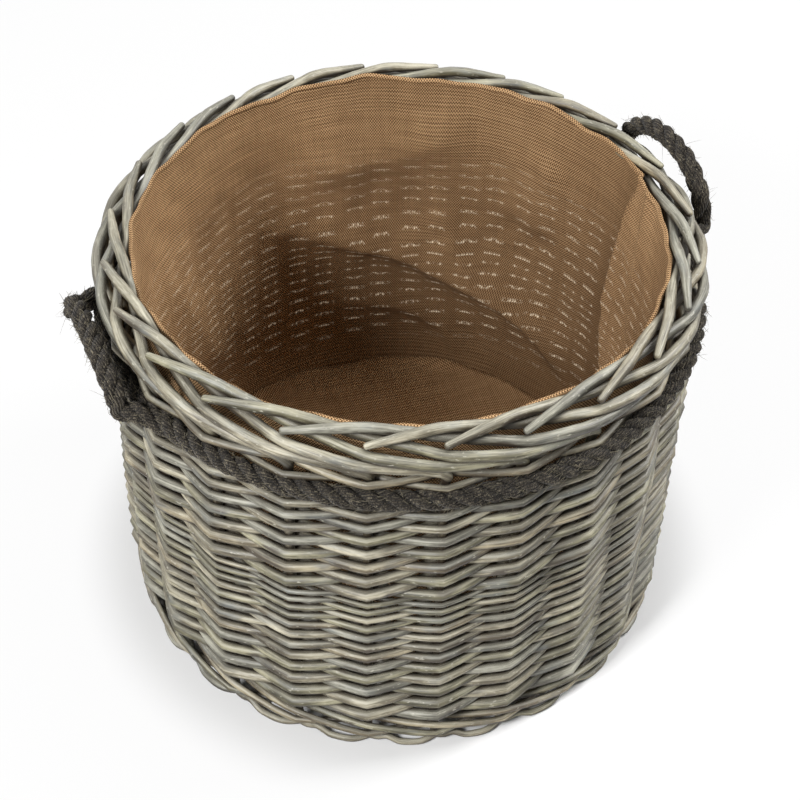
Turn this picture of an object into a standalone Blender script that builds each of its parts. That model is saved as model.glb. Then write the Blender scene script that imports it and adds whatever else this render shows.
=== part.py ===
"""A round willow storage basket with a hessian liner and two rope handles.

Every rod of the wall is its own piece. A stake starts in the foot, stands up through the weave and
ends as one stroke of the rolled border. A weaver goes in front of one stake and behind the next and
climbs one row at each stake, so that 24 of them, one from each stake, build the whole wall.
"""

import math

import bmesh
import bpy
from mathutils import Matrix, Vector

# Counts
STAKES = 24
LOWER_ROWS = 24
UPPER_ROWS = 16
WALE_RODS = 3
BASE_STICKS = 6

# Gap left between pieces that touch
CLEARANCE = 0.0003
# Room between a stake and the rods that bend round it, and under the rods of the border
STAKE_ROOM = 0.0006
BORDER_ROOM = 0.0018

# Thickness of each rod
STAKE_ROD = 0.0080
BORDER_ROD = 0.0076
FOOT_ROD = 0.0056
WALE_ROD = 0.0058
TOP_ROW_ROD = 0.0050
LOWER_BUTT = 0.0088
LOWER_TIP = 0.0040
UPPER_BUTT = 0.0082
UPPER_TIP = 0.0055
STICK_ROD = 0.0085
BASE_ROD = 0.0076
ROPE = 0.0150

# The circle on which the stakes stand: its radius under the border, and how far the wall is drawn in
# from there at the foot, at the belly, which has its own height, and at the neck under the rope
RIM_RADIUS = 0.2365
FOOT_IN = 0.0070
BELLY_IN = 0.0025
BELLY_HEIGHT = 0.2300
NECK_IN = 0.0055

# The base
BASE_EYE_RADIUS = 0.0500
# Where the crossed sticks start to fan out, in sticks from the middle
FAN_START_SHARE = 1.9
# The sticks lie a little into each other, and none quite level with the next
STICK_SPACING_SHARE = 0.86
STICK_LIFT = 0.0002
STICK_END_ROOM = 0.0022

# The rope handles
HANDLE_HALF_WIDTH = 0.0600
# Each loop: its direction from the axis, its reach from the hinge, its angle above the level, and
# how square it is, where 1 would be an ellipse
RIGHT_BEARING = math.radians(12.9)
RIGHT_REACH = 0.0510
RIGHT_TILT = math.radians(88)
RIGHT_LOOP_SHARE = 0.95
LEFT_BEARING = math.radians(187.4)
LEFT_REACH = 0.0240
LEFT_TILT = math.radians(85)
LEFT_LOOP_SHARE = 0.55
# Points on a loop
HANDLE_POINTS = 13
# A loop's rounded end: rope thicknesses back from the hinge, and the share of the thickness there
ROPE_END_SHARES = ((-0.45, 0.40), (-0.22, 0.88))
# The rope between the band and the hinge: how far along the band it starts, in rope thicknesses,
# where it has come up to the hinge's level, and how thick it is
EXIT_START_SHARE = 1.6
EXIT_LEVEL_SHARE = 1.1
EXIT_ROPE_SHARE = 0.96
ROPE_POINTS_PER_BAY = 2

# The liner: its cloth, its room inside the wall, and how far below the border's top its hem lies
CLOTH = 0.0015
LINER_ROOM = 0.0015
LINER_DROP = 0.0065
LINER_COLUMNS = 40
LINER_WALL_ROWS = 8
# Rings of the bottom panel, as shares of its radius
LINER_FLOOR_SHARES = (0.30, 0.65, 0.97)
# The folds stand off the wall by this share of the depth at rest, and swing by as much about it
LINER_FOLD = 0.0045
FOLD_REST_SHARE = 0.3
# Two sets of upright folds: how many, how much they lean from floor to hem, and their share
FOLD_SETS_SHARES = ((5, 2.2, 1.0), (11, -3.1, 0.6))
# The cloth hangs fuller on two sides
SIDE_FOLDS = 2
SIDE_FOLD_TURN = 0.8
SIDE_FOLD_SHARE = 0.4

# How far the stakes stray from even spacing, as a share of a bay, and how often round the basket
STRAY_SHARE = 0.06
STRAY_WAVES = 5

# A hexagon's half height over its half width
HEXAGON_SHARE = math.cos(math.radians(30))

# One stroke of the border: bays along it, then rod thicknesses outwards and upwards from its middle
BORDER_SHARES = (
    (0.00, 0.00, -2.35),
    (0.33, 0.40, -1.03),
    (0.65, 0.70, -0.50),
    (1.10, 0.95, -0.03),
    (1.50, 0.95, 0.59),
    (2.00, 0.35, 0.75),
    (2.45, -0.75, 1.00),
    (3.00, -1.75, 1.18),
    (3.50, -2.15, 1.68),
    (4.05, -1.70, 2.47),
    (4.40, -1.05, 2.55),
    (5.00, 0.15, 1.94),
)

# One stroke of the foot: bays along it, then rod thicknesses outwards and upwards from its run
FOOT_SHARES = (
    (1.45, -1.10, 0.00),
    (1.10, -0.35, 0.00),
    (0.80, 1.10, 0.00),
    (0.50, 1.10, 0.00),
    (0.28, 0.55, 0.75),
    (0.00, 0.00, 1.60),
)

# Number of sides that a curve's bevel resolution gives
FOUR_SIDES = 0
SIX_SIDES = 1
EIGHT_SIDES = 2

# Colours from the photograph, as red, green and blue, then roughness
FINISHES = {
    "willow_wall": ((0.36, 0.33, 0.26), 0.62),
    "willow_weaver": ((0.40, 0.38, 0.31), 0.60),
    "willow_pale": ((0.47, 0.43, 0.33), 0.60),
    "willow_base": ((0.33, 0.29, 0.22), 0.68),
    "rope": ((0.085, 0.070, 0.058), 0.90),
    "hessian": ((0.52, 0.32, 0.16), 0.92),
}


def row_thicknesses():
    """Thickness of a weaver at each stake that it passes, through the lower band and then the upper."""
    rows = []
    for count, butt, tip in (
        (LOWER_ROWS, LOWER_BUTT, LOWER_TIP),
        (UPPER_ROWS, UPPER_BUTT, UPPER_TIP),
    ):
        rows += [butt + (tip - butt) * row / (count - 1) for row in range(count)]
    return rows


def stacked(thicknesses, bottom):
    """Heights of rods laid on each other from a bottom height, each a clearance above the last."""
    heights = []
    level = bottom
    for thickness in thicknesses:
        heights.append(level + thickness / 2)
        level += thickness + CLEARANCE
    return heights


# Radii and heights, from the floor up
FOOT_RADIUS = RIM_RADIUS - FOOT_IN
BELLY_RADIUS = RIM_RADIUS - BELLY_IN
NECK_RADIUS = RIM_RADIUS - NECK_IN
FOOT_LEVEL = FOOT_ROD / 2 * HEXAGON_SHARE
FOOT_TOP = FOOT_LEVEL + FOOT_SHARES[-1][2] * FOOT_ROD
WALE_STEP = WALE_ROD + CLEARANCE
WALE_LEVEL = FOOT_TOP + WALE_RODS / 2 * WALE_STEP
ROW_THICKNESSES = row_thicknesses()
ROW_HEIGHTS = stacked(ROW_THICKNESSES, WALE_LEVEL + WALE_RODS / 2 * WALE_STEP)
ROPE_LEVEL = ROW_HEIGHTS[-1] + UPPER_TIP / 2 + CLEARANCE + ROPE / 2
TOP_ROW_HEIGHTS = stacked((TOP_ROW_ROD, TOP_ROW_ROD), ROPE_LEVEL + ROPE / 2 + CLEARANCE)
TOP_ROW_TOP = TOP_ROW_HEIGHTS[-1] + TOP_ROW_ROD / 2
BORDER_LEVEL = TOP_ROW_TOP + BORDER_ROOM - BORDER_SHARES[0][2] * BORDER_ROD
BORDER_TOP = BORDER_LEVEL + (max(share[2] for share in BORDER_SHARES) + 0.5) * BORDER_ROD


def smooth_radius(height):
    """Radius of the stake circle: widest at the belly, drawn in at the foot and at the neck."""
    if height < BELLY_HEIGHT:
        away = (BELLY_HEIGHT - height) / BELLY_HEIGHT
        return BELLY_RADIUS - (BELLY_RADIUS - FOOT_RADIUS) * away**2
    away = (height - BELLY_HEIGHT) / (ROPE_LEVEL - BELLY_HEIGHT)
    return BELLY_RADIUS - (BELLY_RADIUS - NECK_RADIUS) * away**2


# Corners of a stake between its foot and the rope, as height and radius, and then the border's start
STAKE_CORNERS = [
    (height, smooth_radius(height))
    for height in (
        FOOT_TOP,
        FOOT_TOP + (BELLY_HEIGHT - FOOT_TOP) / 2,
        BELLY_HEIGHT,
        ROPE_LEVEL,
    )
] + [(BORDER_LEVEL + BORDER_SHARES[0][2] * BORDER_ROD, RIM_RADIUS)]


def along_corners(height, corners):
    """Value at a height on the straight lines between corners."""
    for (low, first), (high, last) in zip(corners, corners[1:]):
        if height <= high:
            share = max(0, (height - low) / (high - low))
            return first + (last - first) * share
    return corners[-1][1]


def stake_radius(height):
    return along_corners(height, STAKE_CORNERS)


def stake_thickness(height):
    return along_corners(height, [(FOOT_TOP, STAKE_ROD), (ROPE_LEVEL, BORDER_ROD)])


def stake_angle(index):
    """Direction of a stake from the basket's axis, half a bay off +X. A part of an index is in a bay."""
    stray = STRAY_SHARE * math.sin(2 * math.pi * STRAY_WAVES * index / STAKES)
    return 2 * math.pi * (index + 0.5 + stray) / STAKES


def polar(radius, angle, height):
    return Vector((radius * math.cos(angle), radius * math.sin(angle), height))


def material(name):
    """The finish of a sub-part, made once."""
    found = bpy.data.materials.get(name)
    if found:
        return found
    colour, roughness = FINISHES[name]
    made = bpy.data.materials.new(name)
    made.use_nodes = True
    shader = made.node_tree.nodes["Principled BSDF"]
    shader.inputs["Base Color"].default_value = (*colour, 1)
    shader.inputs["Roughness"].default_value = roughness
    shader.inputs["Metallic"].default_value = 0
    made.diffuse_color = (*colour, 1)
    return made


def collection(name):
    made = bpy.data.collections.new(name)
    bpy.context.scene.collection.children.link(made)
    return made


def tube(name, points, thicknesses, finish, sides, home, closed=False):
    """A rod or rope along points, as thick at each of them as the list says."""
    curve = bpy.data.curves.new(name, "CURVE")
    curve.dimensions = "3D"
    curve.twist_mode = "Z_UP"
    curve.bevel_depth = 1
    curve.bevel_resolution = sides
    curve.use_fill_caps = not closed
    spline = curve.splines.new("POLY")
    spline.points.add(len(points) - 1)
    for corner, place, thickness in zip(spline.points, points, thicknesses):
        corner.co = (*place, 1)
        corner.radius = thickness / 2
    spline.use_cyclic_u = closed
    spline.use_smooth = True
    made = bpy.data.objects.new(name, curve)
    curve.materials.append(material(finish))
    home.objects.link(made)
    return made


def as_mesh(source, home):
    """The same piece as one welded mesh, which a Boolean can take."""
    evaluated = source.evaluated_get(bpy.context.evaluated_depsgraph_get())
    mesh = bpy.data.meshes.new_from_object(evaluated)
    work = bmesh.new()
    work.from_mesh(mesh)
    bmesh.ops.remove_doubles(work, verts=work.verts, dist=CLEARANCE / 10)
    work.to_mesh(mesh)
    work.free()
    name = source.name
    finish = source.data.materials[0]
    place = source.matrix_world.copy()
    bpy.data.objects.remove(source)
    mesh.materials.clear()
    mesh.materials.append(finish)
    made = bpy.data.objects.new(name, mesh)
    made.matrix_world = place
    home.objects.link(made)
    return made


def fused(first, others, home, guides):
    """The first tube joined with the others in one solid."""
    bpy.context.view_layer.update()
    body = as_mesh(first, home)
    for other in others:
        piece = as_mesh(other, guides)
        piece.hide_render = True
        piece.display_type = "WIRE"
        union = body.modifiers.new("join", "BOOLEAN")
        union.operation = "UNION"
        union.object = piece
    return body


def make_stake(index, home):
    """One rod from its stroke in the foot, up the wall and through its stroke in the border."""
    points = []
    thicknesses = []
    for along, out, up in FOOT_SHARES[:-1]:
        points.append(
            polar(
                FOOT_RADIUS + out * FOOT_ROD,
                stake_angle(index + along),
                FOOT_LEVEL + up * FOOT_ROD,
            )
        )
        thicknesses.append(FOOT_ROD)
    for height, radius in STAKE_CORNERS[:-1]:
        points.append(polar(radius, stake_angle(index), height))
        thicknesses.append(stake_thickness(height))
    for along, out, up in BORDER_SHARES:
        points.append(
            polar(
                RIM_RADIUS + out * BORDER_ROD,
                stake_angle(index - along),
                BORDER_LEVEL + up * BORDER_ROD,
            )
        )
        thicknesses.append(BORDER_ROD)
    return tube(f"stake_{index + 1:02d}", points, thicknesses, "willow_wall", SIX_SIDES, home)


def beside_stake(index, height, thickness, side):
    """Where a rod passes a stake: side 1 is in front of it, side -1 behind it and 0 between stakes."""
    reach = (stake_thickness(height) + thickness) / 2 + STAKE_ROOM
    return polar(stake_radius(height) + side * reach, stake_angle(index), height)


def make_weaver(index, home):
    """One weaver: in front of one stake, behind the next, one row higher at each."""
    points = [
        beside_stake(index + row, height, thickness, 1 if row % 2 else -1)
        for row, (height, thickness) in enumerate(zip(ROW_HEIGHTS, ROW_THICKNESSES))
    ]
    return tube(
        f"weaver_{index + 1:02d}", points, ROW_THICKNESSES, "willow_weaver", FOUR_SIDES, home
    )


def make_wale_rod(turn, home):
    """A rod of the wale at the foot: in front of two stakes, falling as it goes, then behind one."""
    strokes = ((1, 1), (1, -1), (-1, 0))
    points = []
    for index in range(STAKES):
        side, step = strokes[(index + turn) % WALE_RODS]
        height = WALE_LEVEL + step * WALE_STEP
        points.append(beside_stake(index, height, WALE_ROD, side))
    return tube(
        f"foot_wale_{turn + 1}",
        points,
        [WALE_ROD] * STAKES,
        "willow_pale",
        FOUR_SIDES,
        home,
        closed=True,
    )


def make_top_row(turn, home):
    """A ring above the rope, in front of every other stake."""
    height = TOP_ROW_HEIGHTS[turn]
    points = [
        beside_stake(index, height, TOP_ROW_ROD, 1 if (index + turn) % 2 else -1)
        for index in range(STAKES)
    ]
    return tube(
        f"top_row_{turn + 1}",
        points,
        [TOP_ROW_ROD] * STAKES,
        "willow_pale",
        FOUR_SIDES,
        home,
        closed=True,
    )


# The base's middle height, its sticks' length and where its weave ends
BASE_STEP = (BASE_ROD + CLEARANCE) / math.cos(math.pi / BASE_STICKS / 2)
BASE_LEVEL = WALE_LEVEL
STICK_END = (
    stake_radius(BASE_LEVEL) * math.cos(math.pi / STAKES) - WALE_ROD / 2 - STICK_END_ROOM
)


def base_reach(radius):
    """How far over or under a stick a rod passes at a radius: further where it is steeper."""
    straight = (STICK_ROD + BASE_ROD + STICK_LIFT * (BASE_STICKS - 1)) / 2 + STAKE_ROOM
    between = 2 * radius * math.sin(math.pi / BASE_STICKS / 2)
    return straight / math.sqrt(1 - (2 * straight / between) ** 2)


BASE_TOP = BASE_LEVEL + base_reach(BASE_EYE_RADIUS) + BASE_ROD / 2
# The base's two rods wind outwards by two steps a turn, until the second one nears the sticks' ends
BASE_WEAVE_END = STICK_END - STICK_END_ROOM - BASE_ROD / 2
BASE_CROSSINGS = int(
    ((BASE_WEAVE_END - BASE_EYE_RADIUS) / BASE_STEP - 1) * BASE_STICKS
) + 1


def make_base_cross(home, guides):
    """Two sets of parallel sticks crossing at the middle, then fanned out evenly."""
    group = BASE_STICKS // 2
    spread = math.pi / BASE_STICKS
    sticks = []
    for number in range(BASE_STICKS):
        turned = math.pi / 2 * (number // group)
        place = number % group - (group - 1) / 2
        shift = place * STICK_ROD * STICK_SPACING_SHARE
        level = BASE_LEVEL + STICK_LIFT * (number - (BASE_STICKS - 1) / 2)
        half = []
        for reach, angle in ((FAN_START_SHARE * STICK_ROD, None), (STICK_END, place * spread)):
            if angle is None:
                half.append(Vector((reach, shift, level)))
            else:
                half.append(polar(reach, angle, level))
        points = [Vector((-p.x, p.y, p.z)) for p in reversed(half)] + half
        turned_points = [
            polar(math.hypot(p.x, p.y), math.atan2(p.y, p.x) + turned, p.z) for p in points
        ]
        sticks.append(
            tube(
                f"base_stick_{number + 1}",
                turned_points,
                [STICK_ROD] * len(points),
                "willow_base",
                SIX_SIDES,
                guides,
            )
        )
    body = fused(sticks[0], sticks[1:], home, guides)
    body.name = "base_cross"
    body.data.name = "base_cross"
    return body


def make_base_weave(turn, home):
    """A rod that winds out from the middle, over one stick and under the next."""
    ends = 2 * BASE_STICKS
    points = []
    for crossing in range(BASE_CROSSINGS):
        radius = BASE_EYE_RADIUS + BASE_STEP * (turn + 2 * crossing / ends)
        side = 1 if (crossing + turn) % 2 else -1
        angle = math.pi / BASE_STICKS * crossing
        points.append(polar(radius, angle, BASE_LEVEL + side * base_reach(radius)))
    return tube(
        f"base_weave_{turn + 1}",
        points,
        [BASE_ROD] * len(points),
        "willow_base",
        FOUR_SIDES,
        home,
    )


# The rope lies in front of the stakes, and the handles turn just outside it
ROPE_RADIUS = stake_radius(ROPE_LEVEL) + (stake_thickness(ROPE_LEVEL) + ROPE) / 2 + STAKE_ROOM
HINGE_RADIUS = ROPE_RADIUS + ROPE + CLEARANCE
HINGE_LEVEL = ROPE_LEVEL + ROPE / 2


def make_rope_band(home, guides):
    """The rope round the neck, with the four ends that leave it for the handles."""
    count = STAKES * ROPE_POINTS_PER_BAY
    ring = [
        polar(ROPE_RADIUS, stake_angle(step / ROPE_POINTS_PER_BAY), ROPE_LEVEL)
        for step in range(count)
    ]
    band = tube("rope_band", ring, [ROPE] * count, "rope", EIGHT_SIDES, guides, closed=True)
    ends = []
    for bearing in (RIGHT_BEARING, LEFT_BEARING):
        for hand in (1, -1):
            ends.append(make_rope_exit(bearing, hand, guides))
    body = fused(band, ends, home, guides)
    body.name = "rope_band"
    body.data.name = "rope_band"
    return body


def make_rope_exit(bearing, hand, guides):
    """The rope where it leaves the band sideways and stops short of the hinge."""
    aside = HANDLE_HALF_WIDTH + EXIT_START_SHARE * ROPE
    hinge = Vector((HINGE_RADIUS, HANDLE_HALF_WIDTH, HINGE_LEVEL))
    start = Vector((math.sqrt(ROPE_RADIUS**2 - aside**2), aside, ROPE_LEVEL))
    level_way = Vector((start.x - hinge.x, start.y - hinge.y, 0)).normalized()
    risen = hinge + level_way * EXIT_LEVEL_SHARE * ROPE
    end = hinge + level_way * (ROPE / 2 + CLEARANCE)
    points = [start, risen, end]
    placed = [
        polar(math.hypot(p.x, p.y), bearing + hand * math.atan2(p.y, p.x), p.z) for p in points
    ]
    thicknesses = [ROPE * EXIT_ROPE_SHARE] * len(placed)
    return tube("rope_exit", placed, thicknesses, "rope", EIGHT_SIDES, guides)


def make_handle(name, bearing, reach, tilt, loop_share, home):
    """A loop of rope that turns about the line between its two ends."""
    outwards = Vector((math.cos(tilt), 0, math.sin(tilt)))
    flat = []
    for step in range(HANDLE_POINTS):
        turn = math.pi * step / (HANDLE_POINTS - 1)
        across = math.copysign(abs(math.cos(turn)) ** loop_share, math.cos(turn))
        rise = math.sin(turn) ** loop_share if 0 < step < HANDLE_POINTS - 1 else 0
        flat.append((across * HANDLE_HALF_WIDTH, rise * reach, 1))
    first = [(HANDLE_HALF_WIDTH, step * ROPE, share) for step, share in ROPE_END_SHARES]
    last = [(-HANDLE_HALF_WIDTH, step * ROPE, share) for step, share in ROPE_END_SHARES]
    shape = first + flat + last[::-1]
    curve = tube(
        name,
        [outwards * out + Vector((0, across, 0)) for across, out, share in shape],
        [ROPE * share for across, out, share in shape],
        "rope",
        EIGHT_SIDES,
        home,
    )
    curve.location = polar(HINGE_RADIUS, bearing, HINGE_LEVEL)
    curve.rotation_euler.z = bearing
    return curve


def liner_radius(height):
    """Outside of the cloth: it clears the rods behind the stakes and the border's inner rod."""
    inside_border = RIM_RADIUS + (min(s[1] for s in BORDER_SHARES) - 0.5) * BORDER_ROD
    thickest = max(ROW_THICKNESSES)
    behind_stakes = STAKE_ROD / 2 + thickest + STAKE_ROOM
    if height > TOP_ROW_HEIGHTS[0]:
        behind_stakes = STAKE_ROD / 2 + TOP_ROW_ROD + STAKE_ROOM
    return min(stake_radius(height) - behind_stakes, inside_border) - LINER_ROOM


def liner_fold(angle, share):
    """How far the cloth stands off the wall: long upright folds that grow towards the middle."""
    folds = sum(
        part * math.sin(count * angle + lean * share) for count, lean, part in FOLD_SETS_SHARES
    )
    fuller = 1 + SIDE_FOLD_SHARE * math.sin(SIDE_FOLDS * angle + SIDE_FOLD_TURN)
    swag = math.sin(math.pi * share) * fuller
    return LINER_FOLD * FOLD_REST_SHARE * (1 + folds) * swag


def make_liner(home):
    """A cup of cloth: a round bottom panel, and a wall that hangs from the border in soft folds."""
    floor = BASE_TOP + CLEARANCE
    top = BORDER_TOP - LINER_DROP
    corner = liner_radius(floor)
    profile = [(corner * share, floor) for share in LINER_FLOOR_SHARES]
    for row in range(1, LINER_WALL_ROWS + 1):
        height = floor + (top - floor) * row / LINER_WALL_ROWS
        profile.append((liner_radius(height), height))
    work = bmesh.new()
    rings = []
    for radius, height in profile:
        ring = []
        for column in range(LINER_COLUMNS):
            angle = 2 * math.pi * column / LINER_COLUMNS
            share = (height - floor) / (top - floor)
            fold = max(0, liner_fold(angle, share))
            ring.append(work.verts.new(polar(radius - fold, angle, height)))
        rings.append(ring)
    for lower, upper in zip(rings, rings[1:]):
        for column in range(LINER_COLUMNS):
            after = (column + 1) % LINER_COLUMNS
            work.faces.new((lower[column], lower[after], upper[after], upper[column]))
    work.faces.new(rings[0][::-1])
    mesh = bpy.data.meshes.new("liner")
    work.to_mesh(mesh)
    work.free()
    mesh.materials.append(material("hessian"))
    mesh.shade_smooth()
    made = bpy.data.objects.new("liner", mesh)
    home.objects.link(made)
    wall = made.modifiers.new("cloth thickness", "SOLIDIFY")
    wall.thickness = CLOTH
    wall.offset = -1
    return made


def set_in_frame(home, guides):
    """Turn the basket until X runs midway between its handles, and centre its box on the origin."""
    bpy.context.view_layer.update()
    turn = Matrix.Rotation((math.pi - RIGHT_BEARING - LEFT_BEARING) / 2, 4, "Z")
    graph = bpy.context.evaluated_depsgraph_get()
    across = []
    along = []
    for piece in home.objects:
        evaluated = piece.evaluated_get(graph)
        mesh = evaluated.to_mesh()
        place = turn @ piece.matrix_world
        for vertex in mesh.vertices:
            corner = place @ vertex.co
            across.append(corner.x)
            along.append(corner.y)
        evaluated.to_mesh_clear()
    middle = Vector((max(across) + min(across), max(along) + min(along), 0)) / 2
    for piece in [*home.objects, *guides.objects]:
        piece.matrix_world = Matrix.Translation(-middle) @ turn @ piece.matrix_world
    print(f"axis at {-middle.x:.5f}, {-middle.y:.5f}")


def main():
    for old in list(bpy.data.objects):
        bpy.data.objects.remove(old)
    home = collection("round_storage_basket")
    guides = collection("cutters")
    for index in range(STAKES):
        make_stake(index, home)
    for index in range(STAKES):
        make_weaver(index, home)
    for turn in range(WALE_RODS):
        make_wale_rod(turn, home)
    for turn in range(2):
        make_top_row(turn, home)
        make_base_weave(turn, home)
    make_base_cross(home, guides)
    make_rope_band(home, guides)
    make_handle("left_handle", LEFT_BEARING, LEFT_REACH, LEFT_TILT, LEFT_LOOP_SHARE, home)
    make_handle("right_handle", RIGHT_BEARING, RIGHT_REACH, RIGHT_TILT, RIGHT_LOOP_SHARE, home)
    make_liner(home)
    set_in_frame(home, guides)
    print(f"rope at {ROPE_LEVEL:.4f}, border at {BORDER_LEVEL:.4f}, top at {BORDER_TOP:.4f}")
    print(f"hinge at radius {HINGE_RADIUS:.4f}, height {HINGE_LEVEL:.4f}")
    print(f"base: {BASE_CROSSINGS} crossings on each rod")


main()
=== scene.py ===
# %% [markdown]
# # A lined willow log basket
#
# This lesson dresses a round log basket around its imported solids, which give every size and
# place. Each rod becomes round, tapered willow with bark marks, the rope gets its strands, yarns
# and loose fibres, and the liner becomes folded hessian. One helper makes every rod, so most of
# the lesson is about finding the line that a rod follows.

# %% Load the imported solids
import math
import random

import bpy
import numpy as np
from mathutils import Matrix, Vector


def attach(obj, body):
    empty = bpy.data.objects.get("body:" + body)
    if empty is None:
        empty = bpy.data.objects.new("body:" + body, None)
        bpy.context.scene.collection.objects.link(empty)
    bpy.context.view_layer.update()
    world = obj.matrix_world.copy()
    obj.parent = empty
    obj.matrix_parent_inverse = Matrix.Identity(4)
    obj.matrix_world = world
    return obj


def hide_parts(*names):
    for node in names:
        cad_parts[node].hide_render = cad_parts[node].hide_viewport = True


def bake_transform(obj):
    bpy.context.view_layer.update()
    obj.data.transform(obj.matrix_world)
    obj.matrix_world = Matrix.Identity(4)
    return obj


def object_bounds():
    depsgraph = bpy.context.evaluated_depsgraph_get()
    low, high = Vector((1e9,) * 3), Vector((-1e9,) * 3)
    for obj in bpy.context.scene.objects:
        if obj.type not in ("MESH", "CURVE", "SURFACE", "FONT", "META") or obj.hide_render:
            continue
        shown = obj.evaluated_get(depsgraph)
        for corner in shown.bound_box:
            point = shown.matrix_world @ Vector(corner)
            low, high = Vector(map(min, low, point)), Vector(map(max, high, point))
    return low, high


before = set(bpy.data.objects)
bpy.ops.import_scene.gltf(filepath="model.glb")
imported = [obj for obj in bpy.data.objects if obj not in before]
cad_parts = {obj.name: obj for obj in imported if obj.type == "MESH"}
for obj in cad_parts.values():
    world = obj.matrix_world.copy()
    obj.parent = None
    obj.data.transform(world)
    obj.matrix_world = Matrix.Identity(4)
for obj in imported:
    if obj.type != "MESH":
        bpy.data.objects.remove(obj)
SOLIDS_LOW, SOLIDS_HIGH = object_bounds()
for corner in (SOLIDS_LOW, SOLIDS_HIGH):
    print("corner of the solids' box", [round(value, 4) for value in corner])

# %% [markdown]
# ## One turn and one shift
#
# A round basket is easiest to work out round its own axis. The solids' frame is turned a little,
# so that X runs midway between the handles, and shifted so that the origin is under the middle of
# the whole box. Everything below is worked out round the axis, and this matrix then sets it in
# the frame of the solids.

# %% From the basket's axis to the frame of the solids
RIGHT_BEARING = math.radians(12.9)
LEFT_BEARING = math.radians(187.4)
AXIS = Vector((0.00034, -0.00018, 0))
IN_FRAME = Matrix.Translation(AXIS) @ Matrix.Rotation(
    (math.pi - RIGHT_BEARING - LEFT_BEARING) / 2, 4, "Z"
)

# %% [markdown]
# ## The camera
#
# The photograph was taken from about six rim radii away, 40 degrees above the level. A camera
# needs a place, a direction and a lens. The lens is given by how many pixels one radian covers
# near the middle of the picture.

# %% Place the camera
PICTURE_WIDTH = 800
FOCAL_PIXELS = 1845.4
CAMERA_DISTANCE = 1.5
CAMERA_BEARING = math.radians(-106.45)
CAMERA_RISE = math.radians(39.87)
CAMERA_NOD = math.radians(4.676)
CAMERA_TURN = math.radians(-0.063)
CAMERA_ROLL = math.radians(0.94)
BORDER_MIDDLE = 0.3501


def aimed(bearing, rise):
    """The unit vector that points back along a bearing, raised above the level."""
    return Vector(
        (math.cos(bearing) * math.cos(rise), math.sin(bearing) * math.cos(rise), math.sin(rise))
    )


camera_data = bpy.data.cameras.new("camera")
camera = bpy.data.objects.new("camera", camera_data)
bpy.context.scene.collection.objects.link(camera)
bpy.context.scene.camera = camera
camera_data.lens = camera_data.sensor_width * FOCAL_PIXELS / PICTURE_WIDTH
camera_data.clip_start = 0.05
camera_data.clip_end = 50
back = aimed(CAMERA_BEARING + CAMERA_TURN, CAMERA_RISE + CAMERA_NOD)
right = Vector((0, 0, 1)).cross(back).normalized()
up = back.cross(right)
rolled_right = right * math.cos(CAMERA_ROLL) + up * math.sin(CAMERA_ROLL)
rolled_up = up * math.cos(CAMERA_ROLL) - right * math.sin(CAMERA_ROLL)
turn = Matrix((rolled_right, rolled_up, back)).transposed()
place = aimed(CAMERA_BEARING, CAMERA_RISE) * CAMERA_DISTANCE + Vector((0, 0, BORDER_MIDDLE))
camera.matrix_world = IN_FRAME @ Matrix.Translation(place) @ turn.to_4x4()
print("camera at", [round(v, 3) for v in camera.location], "lens", round(camera_data.lens, 1), "mm")

# %% [markdown]
# ## Shader maths as sums
#
# A material is a graph of nodes, and a graph is hard to read as code. This class wraps one
# socket, so that `a * b + 1` writes the Math nodes by itself. It holds only the operators that
# the lesson uses.


# %% A socket that can be added and multiplied
class Wire:
    """The value that leaves a node. Sums and products of wires make Math nodes."""

    def __init__(self, graph, socket):
        self.graph = graph
        self.socket = socket

    def _maths(self, operation, *values, clamped=False):
        settings = {"operation": operation, "use_clamp": clamped}
        return self.graph.add("Math", settings, dict(enumerate(values)))

    def __add__(self, other):
        return self._maths("ADD", self, other)

    def __sub__(self, other):
        return self._maths("SUBTRACT", self, other)

    def __rsub__(self, other):
        return self._maths("SUBTRACT", other, self)

    def __mul__(self, other):
        return self._maths("MULTIPLY", self, other)

    def __pow__(self, other):
        return self._maths("POWER", self, other)

    __radd__ = __add__
    __rmul__ = __mul__

    def either(self, other):
        """The larger of two values."""
        return self._maths("MAXIMUM", self, other)

    def sine(self):
        return self._maths("SINE", self)

    def size(self):
        """The value without its sign."""
        return self._maths("ABSOLUTE", self)

    def above(self, low, high):
        """0 below low, 1 above high, and a smooth rise between them."""
        return self.graph.add(
            "MapRange",
            {"interpolation_type": "SMOOTHSTEP"},
            {"Value": self, "From Min": low, "From Max": high},
        )

    def held(self):
        """The value kept between 0 and 1."""
        return self._maths("ADD", self, 0, clamped=True)


# %% [markdown]
# ## A graph of nodes
#
# Every node comes from `Graph.add`, which takes the node's type, its settings and what goes into
# its sockets. Materials have such a graph, and so does the world.


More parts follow.
